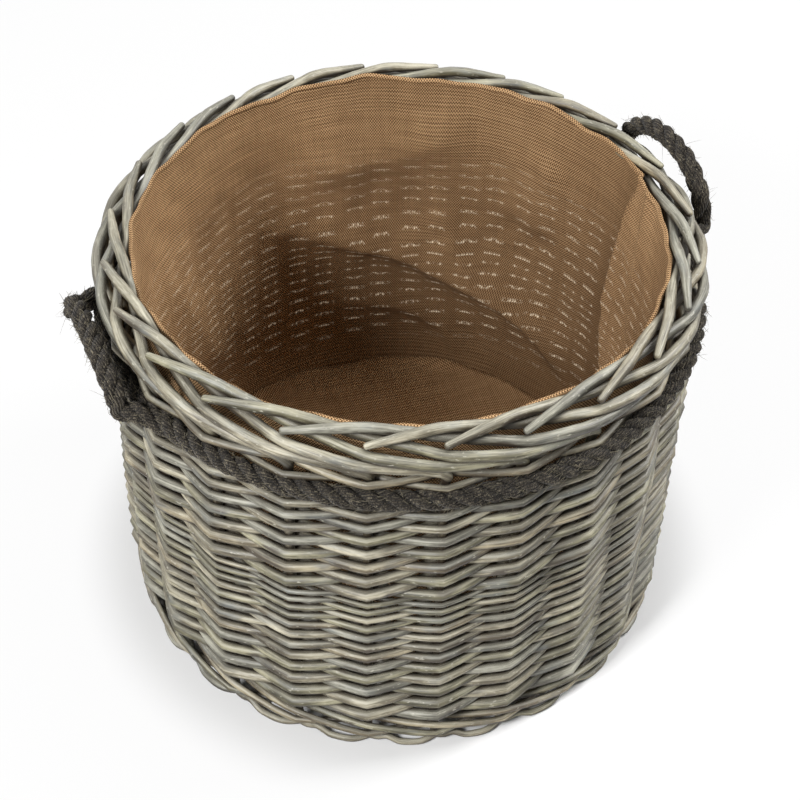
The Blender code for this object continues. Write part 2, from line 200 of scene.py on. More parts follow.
# %% One way to make every node
class Graph:
    """The nodes of a material or of the world."""

    def __init__(self, tree):
        self.tree = tree

    def add(self, kind, settings=None, inputs=None, output=0):
        """A node of a kind, its settings first and then the values or wires of its sockets."""
        node = self.tree.nodes.new("ShaderNode" + kind)
        for name, value in (settings or {}).items():
            if name == "stops":
                self._set_stops(node.color_ramp, value)
            else:
                setattr(node, name, value)
        for name, value in (inputs or {}).items():
            self.join(value, node.inputs[name])
        return Wire(self, node.outputs[output]) if node.outputs else None

    def _set_stops(self, ramp, stops):
        while len(ramp.elements) < len(stops):
            ramp.elements.new(1)
        for element, (position, colour) in zip(ramp.elements, stops):
            element.position = position
            element.color = (*colour, 1)

    def join(self, value, socket):
        """A wire goes into the socket, and anything else is set on it."""
        if isinstance(value, Wire):
            self.tree.links.new(value.socket, socket)
        elif socket.type == "RGBA" and len(value) == 3:
            socket.default_value = (*value, 1)
        else:
            socket.default_value = value

    def part(self, vector, axis):
        """One of the three numbers of a vector."""
        return self.add("SeparateXYZ", {}, {"Vector": vector}, axis)

    def mixed(self, share, first, second):
        """One colour fading into another as share goes from 0 to 1."""
        return self.add("Mix", {"data_type": "RGBA"}, {0: share, 6: first, 7: second}, 2)

    def mixed_shader(self, share, first, second):
        """One shader fading into another as share goes from 0 to 1."""
        return self.add("MixShader", {}, {"Fac": share, 1: first, 2: second})


# %% [markdown]
# ## A finish
#
# A finish is a material with one shader for its surface, and a graph that feeds it. The finishes
# below share noise, small bumps and painted shade in gaps, so those have short names here.


# %% A material made of a graph
class Finish(Graph):
    """A material with one Principled shader, and the nodes that feed it."""

    def __init__(self, name, **sockets):
        self.material = bpy.data.materials.new(name)
        self.material.use_nodes = True
        super().__init__(self.material.node_tree)
        self.shader = self.tree.nodes["Principled BSDF"]
        for socket, value in sockets.items():
            self.feed(socket.replace("_", " "), value)

    def feed(self, socket, value):
        self.join(value, self.shader.inputs[socket])

    def carried(self, name):
        """The three numbers that each point of the mesh carries under a name."""
        return self.add("Attribute", {"attribute_name": name}, output=1)

    def place_on(self, name, scale):
        """What the mesh carries, stretched along each axis."""
        return self.add("VectorMath", {"operation": "MULTIPLY"}, {0: self.carried(name), 1: scale})

    def noise(self, vector, detail=2, roughness=0.5):
        values = {"Vector": vector, "Scale": 1, "Detail": detail, "Roughness": roughness}
        return self.add("TexNoise", {}, values)

    def gaps(self, distance, low, high):
        """1 in a gap and 0 in the open, by how much is shut out within a distance."""
        openness = self.add("AmbientOcclusion", {"samples": 6}, {"Distance": distance}, 1)
        return 1 - openness.above(low, high)

    def bump(self, height, strength, depth):
        values = {"Height": height, "Strength": strength, "Distance": depth}
        self.feed("Normal", self.add("Bump", {}, values))


# %% [markdown]
# ## Willow with a grey wash
#
# The rods are whole willow, boiled or buffed and then washed with thin grey paint. The wash stays
# in some places and rubs off in others, so one rod goes from blue-grey to cream to tan along its
# length. Long streaks follow the grain, small dark marks are left where buds grew, and each rod
# differs from the next. A picture of wood would show the same knots again and again, so noise is
# stretched along the rod instead. The rods carry their own straightened place, called grain, and
# one material fits every bend. Undersides are darkened with painted shade, upper sides get a
# painted highlight, and the gaps between rods are darkened with painted shade.

# %% Make the willow finishes
BUD_BROWN = (0.045, 0.032, 0.022)
# Painted shade for undersides and gaps, and a cream for scuffs and for the painted highlight
SHADE_BROWN = (0.030, 0.021, 0.014)
CREAM_SCUFF_AND_HIGHLIGHT = (0.60, 0.58, 0.48)
WASH_BLUE = (0.180, 0.196, 0.196)
# How fine each marking is: per metre along the rod, and then twice across it
PATCHES = (19, 70, 70)
STREAKS = (34, 800, 800)
FIBRES = (160, 2400, 2400)
WASHES = (24, 110, 110)
BUDS = (30, 150, 150)
SCUFFS = (200, 600, 600)
# How far into a gap between rods the painted shade reaches
GAP_DEPTH = 0.014
BARK_DEPTH = 0.0006


def willow(name, dark, middle, pale):
    """Washed willow between three tones."""
    finish = Finish(name, Specular_IOR_Level=0.5)
    patches = finish.noise(finish.place_on("grain", PATCHES), detail=4, roughness=0.62)
    streaks = finish.noise(finish.place_on("grain", STREAKS), detail=3, roughness=0.65)
    fibres = finish.noise(finish.place_on("grain", FIBRES))
    washes = finish.noise(finish.place_on("grain", WASHES), roughness=0.6)
    buds = finish.noise(finish.place_on("grain", BUDS), detail=1)
    scuffs = finish.noise(finish.place_on("grain", SCUFFS))

    # The wood's own tone, and then what the maker and the years have put on it
    tone = patches * 1.75 + streaks * 0.95 - 0.87
    ramp = {"stops": [(0.24, dark), (0.48, middle), (0.76, pale)]}
    colour = finish.add("ValToRGB", ramp, {"Fac": tone})
    colour = finish.mixed(washes.above(0.54, 0.70) * 0.45, colour, WASH_BLUE)
    bud_mark = buds.above(0.64, 0.74) * 0.85
    colour = finish.mixed(bud_mark, colour, BUD_BROWN)
    colour = finish.mixed(scuffs.above(0.62, 0.74) * 0.50, colour, CREAM_SCUFF_AND_HIGHLIGHT)

    # How far the surface faces up, for painted shade on undersides and a painted highlight on top
    upwards = finish.part(finish.add("NewGeometry", output=1), 2)
    colour = finish.mixed((1 - upwards.above(-0.80, 0.35)) * 0.78, colour, SHADE_BROWN)
    # Painted highlight on upper sides, streaked along the grain
    painted_highlight = upwards.above(0.30, 1.00) * (streaks * 0.95 - 0.16).held()
    colour = finish.mixed(painted_highlight, colour, CREAM_SCUFF_AND_HIGHLIGHT)
    # Painted shade in the gaps between rods
    colour = finish.mixed(finish.gaps(GAP_DEPTH, 0.20, 0.82) * 0.94, colour, SHADE_BROWN)
    finish.feed("Base Color", colour)
    finish.feed("Roughness", 0.34 + streaks * 0.26)
    finish.bump(streaks * 0.6 + fibres * 0.3 - bud_mark * 0.8, 0.55, BARK_DEPTH)
    return finish.material


WILLOWS = [
    willow("willow_stone", (0.044, 0.034, 0.020), (0.138, 0.118, 0.076), (0.400, 0.364, 0.262)),
    willow("willow_olive", (0.038, 0.033, 0.018), (0.120, 0.108, 0.062), (0.340, 0.316, 0.208)),
    willow("willow_slate", (0.040, 0.037, 0.028), (0.124, 0.118, 0.090), (0.350, 0.340, 0.276)),
    willow("willow_tan", (0.048, 0.035, 0.020), (0.142, 0.114, 0.068), (0.385, 0.332, 0.220)),
    willow("willow_cream", (0.060, 0.050, 0.031), (0.172, 0.150, 0.100), (0.480, 0.440, 0.330)),
]
print(len(WILLOWS), "willow finishes")

# %% [markdown]
# ## A line for a rod
#
# A weaver knows where its rod goes at each stake, and the rod bends smoothly through those
# places. A cubic curve through the corners does the same. To lay a tube on it, its cross-section
# is carried along and turned no more than the line itself turns, so that the rod isn't wrung.


# %% Smooth lines and the directions across them
def smooth_line(corners, step):
    """Points every step or so on a smooth curve that goes through the corners."""
    corners = np.asarray(corners, float)
    ends = np.vstack([2 * corners[0] - corners[1], corners, 2 * corners[-1] - corners[-2]])
    points = []
    for before, start, end, after in zip(ends, ends[1:], ends[2:], ends[3:]):
        count = max(2, math.ceil(np.linalg.norm((end - start)[:3]) / step))
        for share in np.arange(count) / count:
            squared, cubed = share**2, share**3
            points.append(
                0.5
                * (
                    2 * start
                    + (end - before) * share
                    + (2 * before - 5 * start + 4 * end - after) * squared
                    + (3 * start - before - 3 * end + after) * cubed
                )
            )
    points.append(corners[-1])
    return np.array(points)


def carried_axes(points, closed):
    """At each point the direction of the line, and two directions across it that don't spin."""
    if closed:
        ahead, behind = np.roll(points, -1, 0), np.roll(points, 1, 0)
    else:
        ahead = np.vstack([points[1:], 2 * points[-1] - points[-2]])
        behind = np.vstack([2 * points[0] - points[1], points[:-1]])
    along = ahead - behind
    along /= np.linalg.norm(along, axis=1)[:, None]
    side = np.cross(along[0], (0, 0, 1))
    if np.linalg.norm(side) < 0.1:
        side = np.cross(along[0], (1, 0, 0))
    sides = []
    for direction in along:
        side = side - direction * (side @ direction)
        side = side / np.linalg.norm(side)
        sides.append(side)
    sides = np.array(sides)
    return along, sides, np.cross(along, sides)


# %% [markdown]
# ## From lines to meshes
#
# Blender's curve objects could give a bent tube, but they can't carry the grain, so the tube is
# made here as a mesh: a ring of points at each step of the line, and quads between the rings.


# %% Objects and tubes from points
def add_mesh(name, vertices, faces, material, attributes=None):
    """An object from points and faces round the basket's axis, with what each point carries."""
    mesh = bpy.data.meshes.new(name)
    mesh.from_pydata(np.asarray(vertices).tolist(), [], faces)
    mesh.transform(IN_FRAME)
    for attribute, values in (attributes or {}).items():
        layer = mesh.attributes.new(attribute, "FLOAT_VECTOR", "POINT")
        layer.data.foreach_set("vector", np.asarray(values, np.float32).ravel())
    mesh.materials.append(material)
    mesh.shade_smooth()
    made = bpy.data.objects.new(name, mesh)
    bpy.context.scene.collection.objects.link(made)
    return made


def ring_faces(rings, sides, closed, first=0):
    """The quads between rings of points, and from the last to the first on a closed line."""
    faces = []
    for ring in range(rings if closed else rings - 1):
        here = first + ring * sides
        there = first + (ring + 1) % rings * sides
        for side in range(sides):
            after = (side + 1) % sides
            faces.append((here + side, here + after, there + after, there + side))
    return faces


def tube_faces(rings, sides, closed, first=0):
    """The quads of a tube, and the two end faces of an open one."""
    faces = ring_faces(rings, sides, closed, first)
    if not closed:
        last = first + (rings - 1) * sides
        faces.append([first + side for side in reversed(range(sides))])
        faces.append([last + side for side in range(sides)])
    return faces


def circles_round(sides, across, upward):
    """A circle of unit vectors round each point of a line."""
    angles = np.arange(sides) * 2 * math.pi / sides
    sideways = np.cos(angles)[None, :, None] * across[:, None]
    return sideways + np.sin(angles)[None, :, None] * upward[:, None]


# %% [markdown]
# ## A willow rod
#
# A cut rod isn't a perfect tube: it swells a little along its length and its ends are worn round.
# Each point stores where it would be on the straight rod, for the finish. Each rod also starts at
# its own place in the noise, and takes one of the five finishes by chance.

# %% Make a rod
# The end of a rod: how far it has drawn out, in radii, and how thick it still is
ROUNDED_END = ((0.45, 0.93), (0.75, 0.72), (0.90, 0.45))
# How much a rod swells, and how many radians of swelling there are to a metre
SWELLINGS = ((0.022, 170, 1), (0.018, 410, 3))
GRAIN_SPREAD = 50
WILLOW_ODDS = (4, 3, 3, 3, 3)


def with_round_ends(points, radii):
    """The line with a few more points at each end, where the rod draws in to a blunt tip."""
    for _ in range(2):
        outwards = points[0] - points[1]
        outwards = outwards / np.linalg.norm(outwards)
        tips = [points[0] + outwards * radii[0] * reach for reach, share in reversed(ROUNDED_END)]
        narrow = [radii[0] * share for reach, share in reversed(ROUNDED_END)]
        points = np.vstack([tips, points])[::-1]
        radii = np.concatenate([narrow, radii])[::-1]
    return points, radii


def rod_shape(points, radii, sides, closed, seed):
    """Points, faces and grain of one rod, a little uneven in thickness."""
    if not closed:
        points, radii = with_round_ends(points, radii)
    _, across, upward = carried_axes(points, closed)
    steps = np.linalg.norm(np.diff(points, axis=0), axis=1)
    run = np.concatenate([[0], np.cumsum(steps)])
    shift = random.Random(seed).uniform(0, GRAIN_SPREAD)
    swell = 1 + sum(size * np.sin(run * pace + late * shift) for size, pace, late in SWELLINGS)
    ring = circles_round(sides, across, upward)
    places = points[:, None] + ring * (radii * swell)[:, None, None]
    angles = np.arange(sides) * 2 * math.pi / sides
    middle = float(np.mean(radii))
    grain = np.empty_like(places)
    grain[..., 0] = run[:, None] + shift
    grain[..., 1] = np.cos(angles)[None] * middle + shift
    grain[..., 2] = np.sin(angles)[None] * middle
    faces = tube_faces(len(points), sides, closed)
    return places.reshape(-1, 3), faces, grain.reshape(-1, 3)


def add_rod(name, points, radii, seed, sides=10, closed=False):
    """A willow rod on a line, in one of the finishes."""
    places, faces, grain = rod_shape(points, radii, sides, closed, seed)
    finish = random.Random(seed * 7 + 1).choices(WILLOWS, WILLOW_ODDS)[0]
    return add_mesh(name, places, faces, finish, {"grain": grain})


def stand_for(piece, node):
    """The piece takes a solid's place and stays with the basket."""
    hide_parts(node)
    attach(piece, "root")


# %% [markdown]
# ## The basket's measures
#
# These are the thicknesses of the rods, the radii of the circle on which the stakes stand, and
# the room that the solids leave between pieces. The two tables of strokes hold, for each corner
# of a rod's line, the bays that it has gone along and then rod thicknesses outwards and upwards.

# %% Measures of the weave
STAKES = 24
LOWER_ROWS = 24
UPPER_ROWS = 16
CLEARANCE = 0.0003
STAKE_ROOM = 0.0006
BORDER_ROOM = 0.0018
STAKE_ROD = 0.0080
BORDER_ROD = 0.0076
FOOT_ROD = 0.0056
WALE_ROD = 0.0058
WALE_RODS = 3
TOP_ROW_ROD = 0.0050
LOWER_BUTT = 0.0088
LOWER_TIP = 0.0040
UPPER_BUTT = 0.0082
UPPER_TIP = 0.0055
ROPE = 0.0150
FOOT_RADIUS = 0.2295
BELLY_RADIUS = 0.2340
BELLY_HEIGHT = 0.2300
NECK_RADIUS = 0.2310
RIM_RADIUS = 0.2365
STRAY_SHARE = 0.06
STRAY_WAVES = 5
BORDER_SHARES = (
    (0.00, 0.00, -2.35),
    (0.33, 0.40, -1.03),
    (0.65, 0.70, -0.50),
    (1.10, 0.95, -0.03),
    (1.50, 0.95, 0.59),
    (2.00, 0.35, 0.75),
    (2.45, -0.75, 1.00),
    (3.00, -1.75, 1.18),
    (3.50, -2.15, 1.68),
    (4.05, -1.70, 2.47),
    (4.40, -1.05, 2.55),
    (5.00, 0.15, 1.94),
)
FOOT_SHARES = (
    (1.45, -1.10, 0.00),
    (1.10, -0.35, 0.00),
    (0.80, 1.10, 0.00),
    (0.50, 1.10, 0.00),
    (0.28, 0.55, 0.75),
    (0.00, 0.00, 1.60),
)
print(STAKES, "stakes and", LOWER_ROWS + UPPER_ROWS, "rows of weave")

# %% [markdown]
# ### Heights and radii that follow
#
# The rods are laid on each other from the floor up, so each height follows from the thicknesses
# below it. The wall swells to its belly and draws in again at its neck. The same sums made the
# solids, so every rod lies where its solid does.


# %% Stack the rows and shape the wall
def row_thicknesses():
    """Thickness of a weaver at each stake, through the lower band and then the upper."""
    rows = []
    for count, butt, tip in (
        (LOWER_ROWS, LOWER_BUTT, LOWER_TIP),
        (UPPER_ROWS, UPPER_BUTT, UPPER_TIP),
    ):
        rows += [butt + (tip - butt) * row / (count - 1) for row in range(count)]
    return rows


def stacked(thicknesses, bottom):
    """Heights of rods laid on each other from a bottom height."""
    heights = []
    level = bottom
    for thickness in thicknesses:
        heights.append(level + thickness / 2)
        level += thickness + CLEARANCE
    return heights


# The solids' foot rods are hexagons that lie on a flat side
FOOT_LEVEL = FOOT_ROD / 2 * math.cos(math.radians(30))
FOOT_TOP = FOOT_LEVEL + FOOT_SHARES[-1][2] * FOOT_ROD
WALE_STEP = WALE_ROD + CLEARANCE
WALE_LEVEL = FOOT_TOP + WALE_RODS / 2 * WALE_STEP
ROWS = row_thicknesses()
ROW_HEIGHTS = stacked(ROWS, WALE_LEVEL + WALE_RODS / 2 * WALE_STEP)
ROPE_LEVEL = ROW_HEIGHTS[-1] + UPPER_TIP / 2 + CLEARANCE + ROPE / 2
TOP_ROW_HEIGHTS = stacked((TOP_ROW_ROD, TOP_ROW_ROD), ROPE_LEVEL + ROPE / 2 + CLEARANCE)
TOP_ROW_TOP = TOP_ROW_HEIGHTS[-1] + TOP_ROW_ROD / 2
BORDER_LEVEL = TOP_ROW_TOP + BORDER_ROOM - BORDER_SHARES[0][2] * BORDER_ROD
BORDER_TOP = BORDER_LEVEL + (max(share[2] for share in BORDER_SHARES) + 0.5) * BORDER_ROD


def smooth_radius(height):
    """Radius of the circle of stakes: widest at the belly."""
    if height < BELLY_HEIGHT:
        away = (BELLY_HEIGHT - height) / BELLY_HEIGHT
        return BELLY_RADIUS - (BELLY_RADIUS - FOOT_RADIUS) * away**2
    away = (height - BELLY_HEIGHT) / (ROPE_LEVEL - BELLY_HEIGHT)
    return BELLY_RADIUS - (BELLY_RADIUS - NECK_RADIUS) * away**2


STAKE_CORNERS = [
    (height, smooth_radius(height))
    for height in (FOOT_TOP, FOOT_TOP + (BELLY_HEIGHT - FOOT_TOP) / 2, BELLY_HEIGHT, ROPE_LEVEL)
] + [(BORDER_LEVEL + BORDER_SHARES[0][2] * BORDER_ROD, RIM_RADIUS)]


def stake_radius(height):
    """Radius of the circle on which the stakes stand, at a height."""
    heights, radii = zip(*STAKE_CORNERS)
    return float(np.interp(height, heights, radii))


def stake_angle(index):
    """Bearing of a stake. They stray a little from even spacing."""
    stray = STRAY_SHARE * math.sin(2 * math.pi * STRAY_WAVES * index / STAKES)
    return 2 * math.pi * (index + 0.5 + stray) / STAKES


def polar(radius, angle, height):
    """A point round the basket's axis."""
    return np.array((radius * math.cos(angle), radius * math.sin(angle), height))


print(f"rope at {ROPE_LEVEL:.4f}, border at {BORDER_LEVEL:.4f}, top at {BORDER_TOP:.4f}")

# %% [markdown]
# ## Stakes
#
# One rod makes a stroke of the foot, the upright and a stroke of the border: that is how the
# maker locks the weave in at both ends. The corners of its line are the solids' own, and a smooth
# curve goes through them. The solids need room between each other, and willow is squashed where
# it is bent, so the border's rods are a little fuller here and close up.

# %% Make the stakes
# The first number of each kind's seeds, from which every rod gets its own
STAKE_SEEDS = 100
WEAVER_SEEDS = {"lower": 200, "upper": 250}
WALE_SEEDS = 300
TOP_ROW_SEEDS = 310
STICK_SEEDS = 400
BASE_ROD_SEEDS = 410

STAKE_STEP = 0.0035
STAKE_SIDES = 12
# Bays along a stroke of the border, and how full its rod is there
BORDER_FULLNESS = ((0.3, 1.0, 4.4, 5.0), (1.0, 1.18, 1.14, 0.78))


def stake_line(index):
    """Corners of a stake's line with the thickness as a fourth number."""
    corners = []
    for along, out, rise in FOOT_SHARES[:-1]:
        radius, level = FOOT_RADIUS + out * FOOT_ROD, FOOT_LEVEL + rise * FOOT_ROD
        corners.append((*polar(radius, stake_angle(index + along), level), FOOT_ROD))
    for height, radius in STAKE_CORNERS[:-1]:
        corners.append((*polar(radius, stake_angle(index), height), STAKE_ROD))
    for along, out, rise in BORDER_SHARES:
        radius, level = RIM_RADIUS + out * BORDER_ROD, BORDER_LEVEL + rise * BORDER_ROD
        fullness = float(np.interp(along, *BORDER_FULLNESS))
        corners.append((*polar(radius, stake_angle(index - along), level), BORDER_ROD * fullness))
    line = smooth_line(corners, STAKE_STEP)
    # The smooth curve mustn't dip into the floor
    line[:, 2] = np.maximum(line[:, 2], line[:, 3] / 2)
    return line


for index in range(STAKES):
    line = stake_line(index)
    name = f"stake_rod_{index + 1:02d}"
    rod = add_rod(name, line[:, :3], line[:, 3] / 2, STAKE_SEEDS + index, STAKE_SIDES)
    stand_for(rod, f"stake_{index + 1:02d}")
print(STAKES, "stakes,", len(line), "points along the last")

# %% [markdown]
# ## The wall
#
# A weaver passes in front of a stake, behind the next and climbs one row each time. Willow is
# stiff: between two stakes it stays nearly straight, and it kinks where it crosses one. A plain
# sine would look like rope, so the line swings as a triangle wave with its corners a little
# rounded.

# %% Make the weavers
SAMPLES_PER_BAY = 10
KINK_SHARE = 0.92
# How far the two ends of a rod reach past its first and last stake, in bays
BUTT_TAIL = 0.1
TIP_TAIL = 0.8
# How far a weaver strays from its level, and how much fuller than its solid it is
WANDER = 0.0005
WEAVER_FULLNESS = (1.05, 1.15)
BANDS = (
    ("lower", 0, LOWER_ROWS - 1),
    ("upper", LOWER_ROWS, LOWER_ROWS + UPPER_ROWS - 1),
)


def swing(travel):
    """1 in front of a stake, -1 behind the next: mostly straight runs with rounded kinks."""
    wave = -math.cos(math.pi * travel)
    straight = math.asin(wave) * 2 / math.pi
    return KINK_SHARE * straight + (1 - KINK_SHARE) * wave


def weaver_line(index, first_row, last_row, chance):
    """Points and radii of one weaver through its rows."""
    points = []
    radii = []
    wander = [chance.uniform(-1, 1) for _ in range(len(ROWS) + 2)]
    count = round((last_row - first_row + BUTT_TAIL + TIP_TAIL) * SAMPLES_PER_BAY) + 1
    for travel in np.linspace(first_row - BUTT_TAIL, last_row + TIP_TAIL, count):
        row = min(max(travel, first_row), last_row)
        thickness = float(np.interp(row, range(len(ROWS)), ROWS))
        height = float(np.interp(row, range(len(ROWS)), ROW_HEIGHTS)) + (travel - row) * thickness
        height += WANDER * float(np.interp(row, range(len(wander)), wander))
        reach = (STAKE_ROD + thickness) / 2 + STAKE_ROOM
        radius = stake_radius(height) + swing(travel) * reach
        points.append(polar(radius, stake_angle(index + travel), height))
        radii.append(thickness / 2)
    return np.array(points), np.array(radii)


for index in range(STAKES):
    for band, first_row, last_row in BANDS:
        seed = WEAVER_SEEDS[band] + index
        chance = random.Random(seed)
        points, radii = weaver_line(index, first_row, last_row, chance)
        radii = radii * chance.uniform(*WEAVER_FULLNESS)
        rod = add_rod(f"{band}_weaver_{index + 1:02d}", points, radii, seed)
        stand_for(rod, f"weaver_{index + 1:02d}")
print(len(BANDS) * STAKES, "weavers")

# %% [markdown]
# ## Wale and top rows
#
# Three rods twist round each other at the foot, which is called a wale, and two thin ones weave
# above the rope. Each runs right round and ends where it started. The real ends are tucked in
# behind a stake, where they don't show, so here each rod is one closed ring.

# %% Make the rings
RING_SAMPLES = 12
TOP_RODS = 2
# The top rows are drawn a little fuller than the solids, as thick as the photograph shows
TOP_ROW_RADIUS = TOP_ROW_ROD * 0.62
# Where a wale rod goes at three stakes in turn: in front or behind, and which of three levels
WALE_STROKES = ((1, 1), (1, -1), (-1, 0))


def ring_line(level_of, side_of, thickness):
    """A closed line that passes each stake on a side and at a level, and is even between them."""
    points = []
    for step in range(STAKES * RING_SAMPLES):
        place = step / RING_SAMPLES
        here = int(place)
        share = place - here
        eased = (1 - math.cos(math.pi * share)) / 2 * (1 - KINK_SHARE) + share * KINK_SHARE
        level = level_of(here) + (level_of(here + 1) - level_of(here)) * eased
        side = side_of(here) + (side_of(here + 1) - side_of(here)) * eased
        reach = (STAKE_ROD + thickness) / 2 + STAKE_ROOM
        points.append(polar(stake_radius(level) + side * reach, stake_angle(place), level))
    return np.array(points)


def add_ring(name, line, radius, seed, node):
    """A closed willow rod that takes a node's place."""
    rod = add_rod(name, line, np.full(len(line), radius), seed, closed=True)
    stand_for(rod, node)


for turn in range(WALE_RODS):
    line = ring_line(
        lambda i: WALE_LEVEL + WALE_STROKES[(i + turn) % WALE_RODS][1] * WALE_STEP,
        lambda i: WALE_STROKES[(i + turn) % WALE_RODS][0],
        WALE_ROD,
    )
    name, seed = f"wale_rod_{turn + 1}", WALE_SEEDS + turn
    add_ring(name, line, WALE_ROD / 2, seed, f"foot_wale_{turn + 1}")
for turn in range(TOP_RODS):
    line = ring_line(
        lambda i: TOP_ROW_HEIGHTS[turn], lambda i: 1 if (i + turn) % 2 else -1, TOP_ROW_ROD
    )
    name, seed = f"top_rod_{turn + 1}", TOP_ROW_SEEDS + turn
    add_ring(name, line, TOP_ROW_RADIUS, seed, f"top_row_{turn + 1}")
print(WALE_RODS, "wale rods and", TOP_RODS, "top rows")

# %% [markdown]
# ## The base
#
# The photograph doesn't show the base, but the liner rests on it. Six sticks cross at the middle
# and fan out. Two rods wind round them, one over where the other is under. The middle of the
# winding has its own radius, because willow can't bend round tighter than that.

# %% Make the base
BASE_STICKS = 6
BASE_CROSSINGS = 117
BASE_RODS = 2
STICK_LINE_STEP = 0.02
WINDING_STEP = 0.012
BASE_EYE_RADIUS = 0.0500
STICK_ROD = 0.0085
BASE_ROD = 0.0076
STICK_LIFT = 0.0002
STICK_END_ROOM = 0.0022
FAN_START_SHARE = 1.9
STICK_SPACING_SHARE = 0.86
BASE_STEP = (BASE_ROD + CLEARANCE) / math.cos(math.pi / BASE_STICKS / 2)
STICK_END = stake_radius(WALE_LEVEL) * math.cos(math.pi / STAKES) - WALE_ROD / 2 - STICK_END_ROOM


def base_reach(radius):
    """How far a winding rod goes over or under a stick at a radius."""
    straight = (STICK_ROD + BASE_ROD + STICK_LIFT * (BASE_STICKS - 1)) / 2 + STAKE_ROOM
    between = 2 * radius * math.sin(math.pi / BASE_STICKS / 2)
    return straight / math.sqrt(1 - (2 * straight / between) ** 2)


BASE_TOP = WALE_LEVEL + base_reach(BASE_EYE_RADIUS) + BASE_ROD / 2
for number in range(BASE_STICKS):
    group = BASE_STICKS // 2
    place = number % group - (group - 1) / 2
    turned = math.pi / 2 * (number // group)
    level = WALE_LEVEL + STICK_LIFT * (number - (BASE_STICKS - 1) / 2)
    shift = place * STICK_ROD * STICK_SPACING_SHARE
    fan = place * math.pi / BASE_STICKS
    corners = [
        (-STICK_END * math.cos(fan), STICK_END * math.sin(fan), level),
        (-FAN_START_SHARE * STICK_ROD, shift, level),
        (FAN_START_SHARE * STICK_ROD, shift, level),
        (STICK_END * math.cos(fan), STICK_END * math.sin(fan), level),
    ]
    line = smooth_line(corners, STICK_LINE_STEP) @ np.array(
        [
            [math.cos(turned), math.sin(turned), 0],
            [-math.sin(turned), math.cos(turned), 0],
            [0, 0, 1],
        ]
    )
    radii = np.full(len(line), STICK_ROD / 2)
    rod = add_rod(f"base_stick_{number + 1}", line, radii, STICK_SEEDS + number)
    stand_for(rod, "base_cross")
for turn in range(BASE_RODS):
    corners = []
    for crossing in range(BASE_CROSSINGS):
        radius = BASE_EYE_RADIUS + BASE_STEP * (turn + crossing / BASE_STICKS)
        side = 1 if (crossing + turn) % 2 else -1
        level = WALE_LEVEL + side * base_reach(radius)
        corners.append(polar(radius, math.pi / BASE_STICKS * crossing, level))
    line = smooth_line(corners, WINDING_STEP)
    radii = np.full(len(line), BASE_ROD / 2)
    rod = add_rod(f"base_rod_{turn + 1}", line, radii, BASE_ROD_SEEDS + turn)
    stand_for(rod, f"base_weave_{turn + 1}")
print("base made, its top at", round(BASE_TOP, 4))

# %% [markdown]
# ## Rope
#
# A laid rope is three strands twisted round each other, and each strand is a bundle of yarns that
# are twisted the other way. The light catches every yarn, so the yarns are real tubes here, wound
# round a core that fills the strand. The finish gives frayed, dusty fibres and painted gap shade.

# %% Make the rope finish
ROPE_FRAY = (260, 1100, 1100)
ROPE_PATCHES = (60, 260, 260)
FIBRE_TONES = (400, 1, 1)
# Painted shade in the gaps between strands and yarns: how far it reaches, and its colour
ROPE_GAP_DEPTH = 0.006
ROPE_GAP_SHADE = (0.006, 0.005, 0.004)


def rope_finish():
    """Charcoal rope with grey and straw-coloured fibres on top, and painted shade nearly black in
    gaps.
    """
    finish = Finish("charcoal_rope", Specular_IOR_Level=0.2, Sheen_Weight=0.12, Sheen_Roughness=0.5)
    frayed = finish.noise(finish.place_on("grain", ROPE_FRAY), detail=3, roughness=0.7)
    patches = finish.noise(finish.place_on("grain", ROPE_PATCHES), detail=3)
    tone = frayed * 1.50 + patches * 0.65 - 0.60
    stops = [
        (0.26, (0.0065, 0.0055, 0.0050)),
        (0.48, (0.034, 0.028, 0.022)),
        (0.66, (0.120, 0.102, 0.074)),
        (0.86, (0.330, 0.290, 0.205)),
    ]
    colour = finish.add("ValToRGB", {"stops": stops}, {"Fac": tone})
    # Painted shade in the gaps between strands and yarns
    painted_gap_shade = finish.gaps(ROPE_GAP_DEPTH, 0.25, 0.75) * 0.8
    finish.feed("Base Color", finish.mixed(painted_gap_shade, colour, ROPE_GAP_SHADE))
    finish.feed("Roughness", 0.82 + frayed * 0.15)
    finish.bump(frayed, 1.0, 0.0010)
    return finish.material


def fibre_finish():
    """One loose fibre is straw-coloured or dark, by its own place in the noise."""
    finish = Finish("loose_fibre", Roughness=0.75, Specular_IOR_Level=0.3)
    tone = finish.noise(finish.place_on("grain", FIBRE_TONES), detail=0)
    finish.feed("Base Color", finish.mixed(tone, (0.040, 0.034, 0.028), (0.330, 0.290, 0.200)))
    return finish.material


ROPE_FINISH = rope_finish()
FIBRE_FINISH = fibre_finish()
print("two finishes for the rope")

# %% [markdown]
# ### Laying a rope
#
# The line is cut into even steps. Each strand winds round it, and each yarn winds round its
# strand, so the same helper gives the directions across both. On a closed ring the twists must
# meet where the ring closes, so their number is rounded.

# %% Lay three strands of yarns
ROPE_LAY = 0.048
ROPE_STRANDS = 3
STRAND_OFFSET = 0.0039
# A strand's lumps: how big, and how many to a metre
LUMP = 0.05
LUMPS_PER_METRE = 31
# A strand is a core with yarns wound round it the other way, in radians to a metre
CORE_RADIUS = 0.0034
CORE_SIDES = 8
YARNS = 9
YARN_SIDES = 5
YARN_CIRCLE = 0.0034
YARN_SLACK = 0.00022
YARN_RADIUS = 0.00125
YARN_SWELL = (0.82, 1.15)
YARN_WAVES = (40, 90)
YARN_TWIST = 230
ROPE_STEP = 0.0016


def resampled(points, step, closed=False):
    """The same line with its points evenly spaced."""
    if closed:
        points = np.vstack([points, points[:1]])
    run = np.concatenate([[0], np.cumsum(np.linalg.norm(np.diff(points, axis=0), axis=1))])
    count = max(3, round(run[-1] / step)) + 1
    even = np.linspace(0, run[-1], count)
    line = np.stack([np.interp(even, run, points[:, axis]) for axis in range(3)], axis=1)
    return (line[:-1], run[-1]) if closed else (line, run[-1])


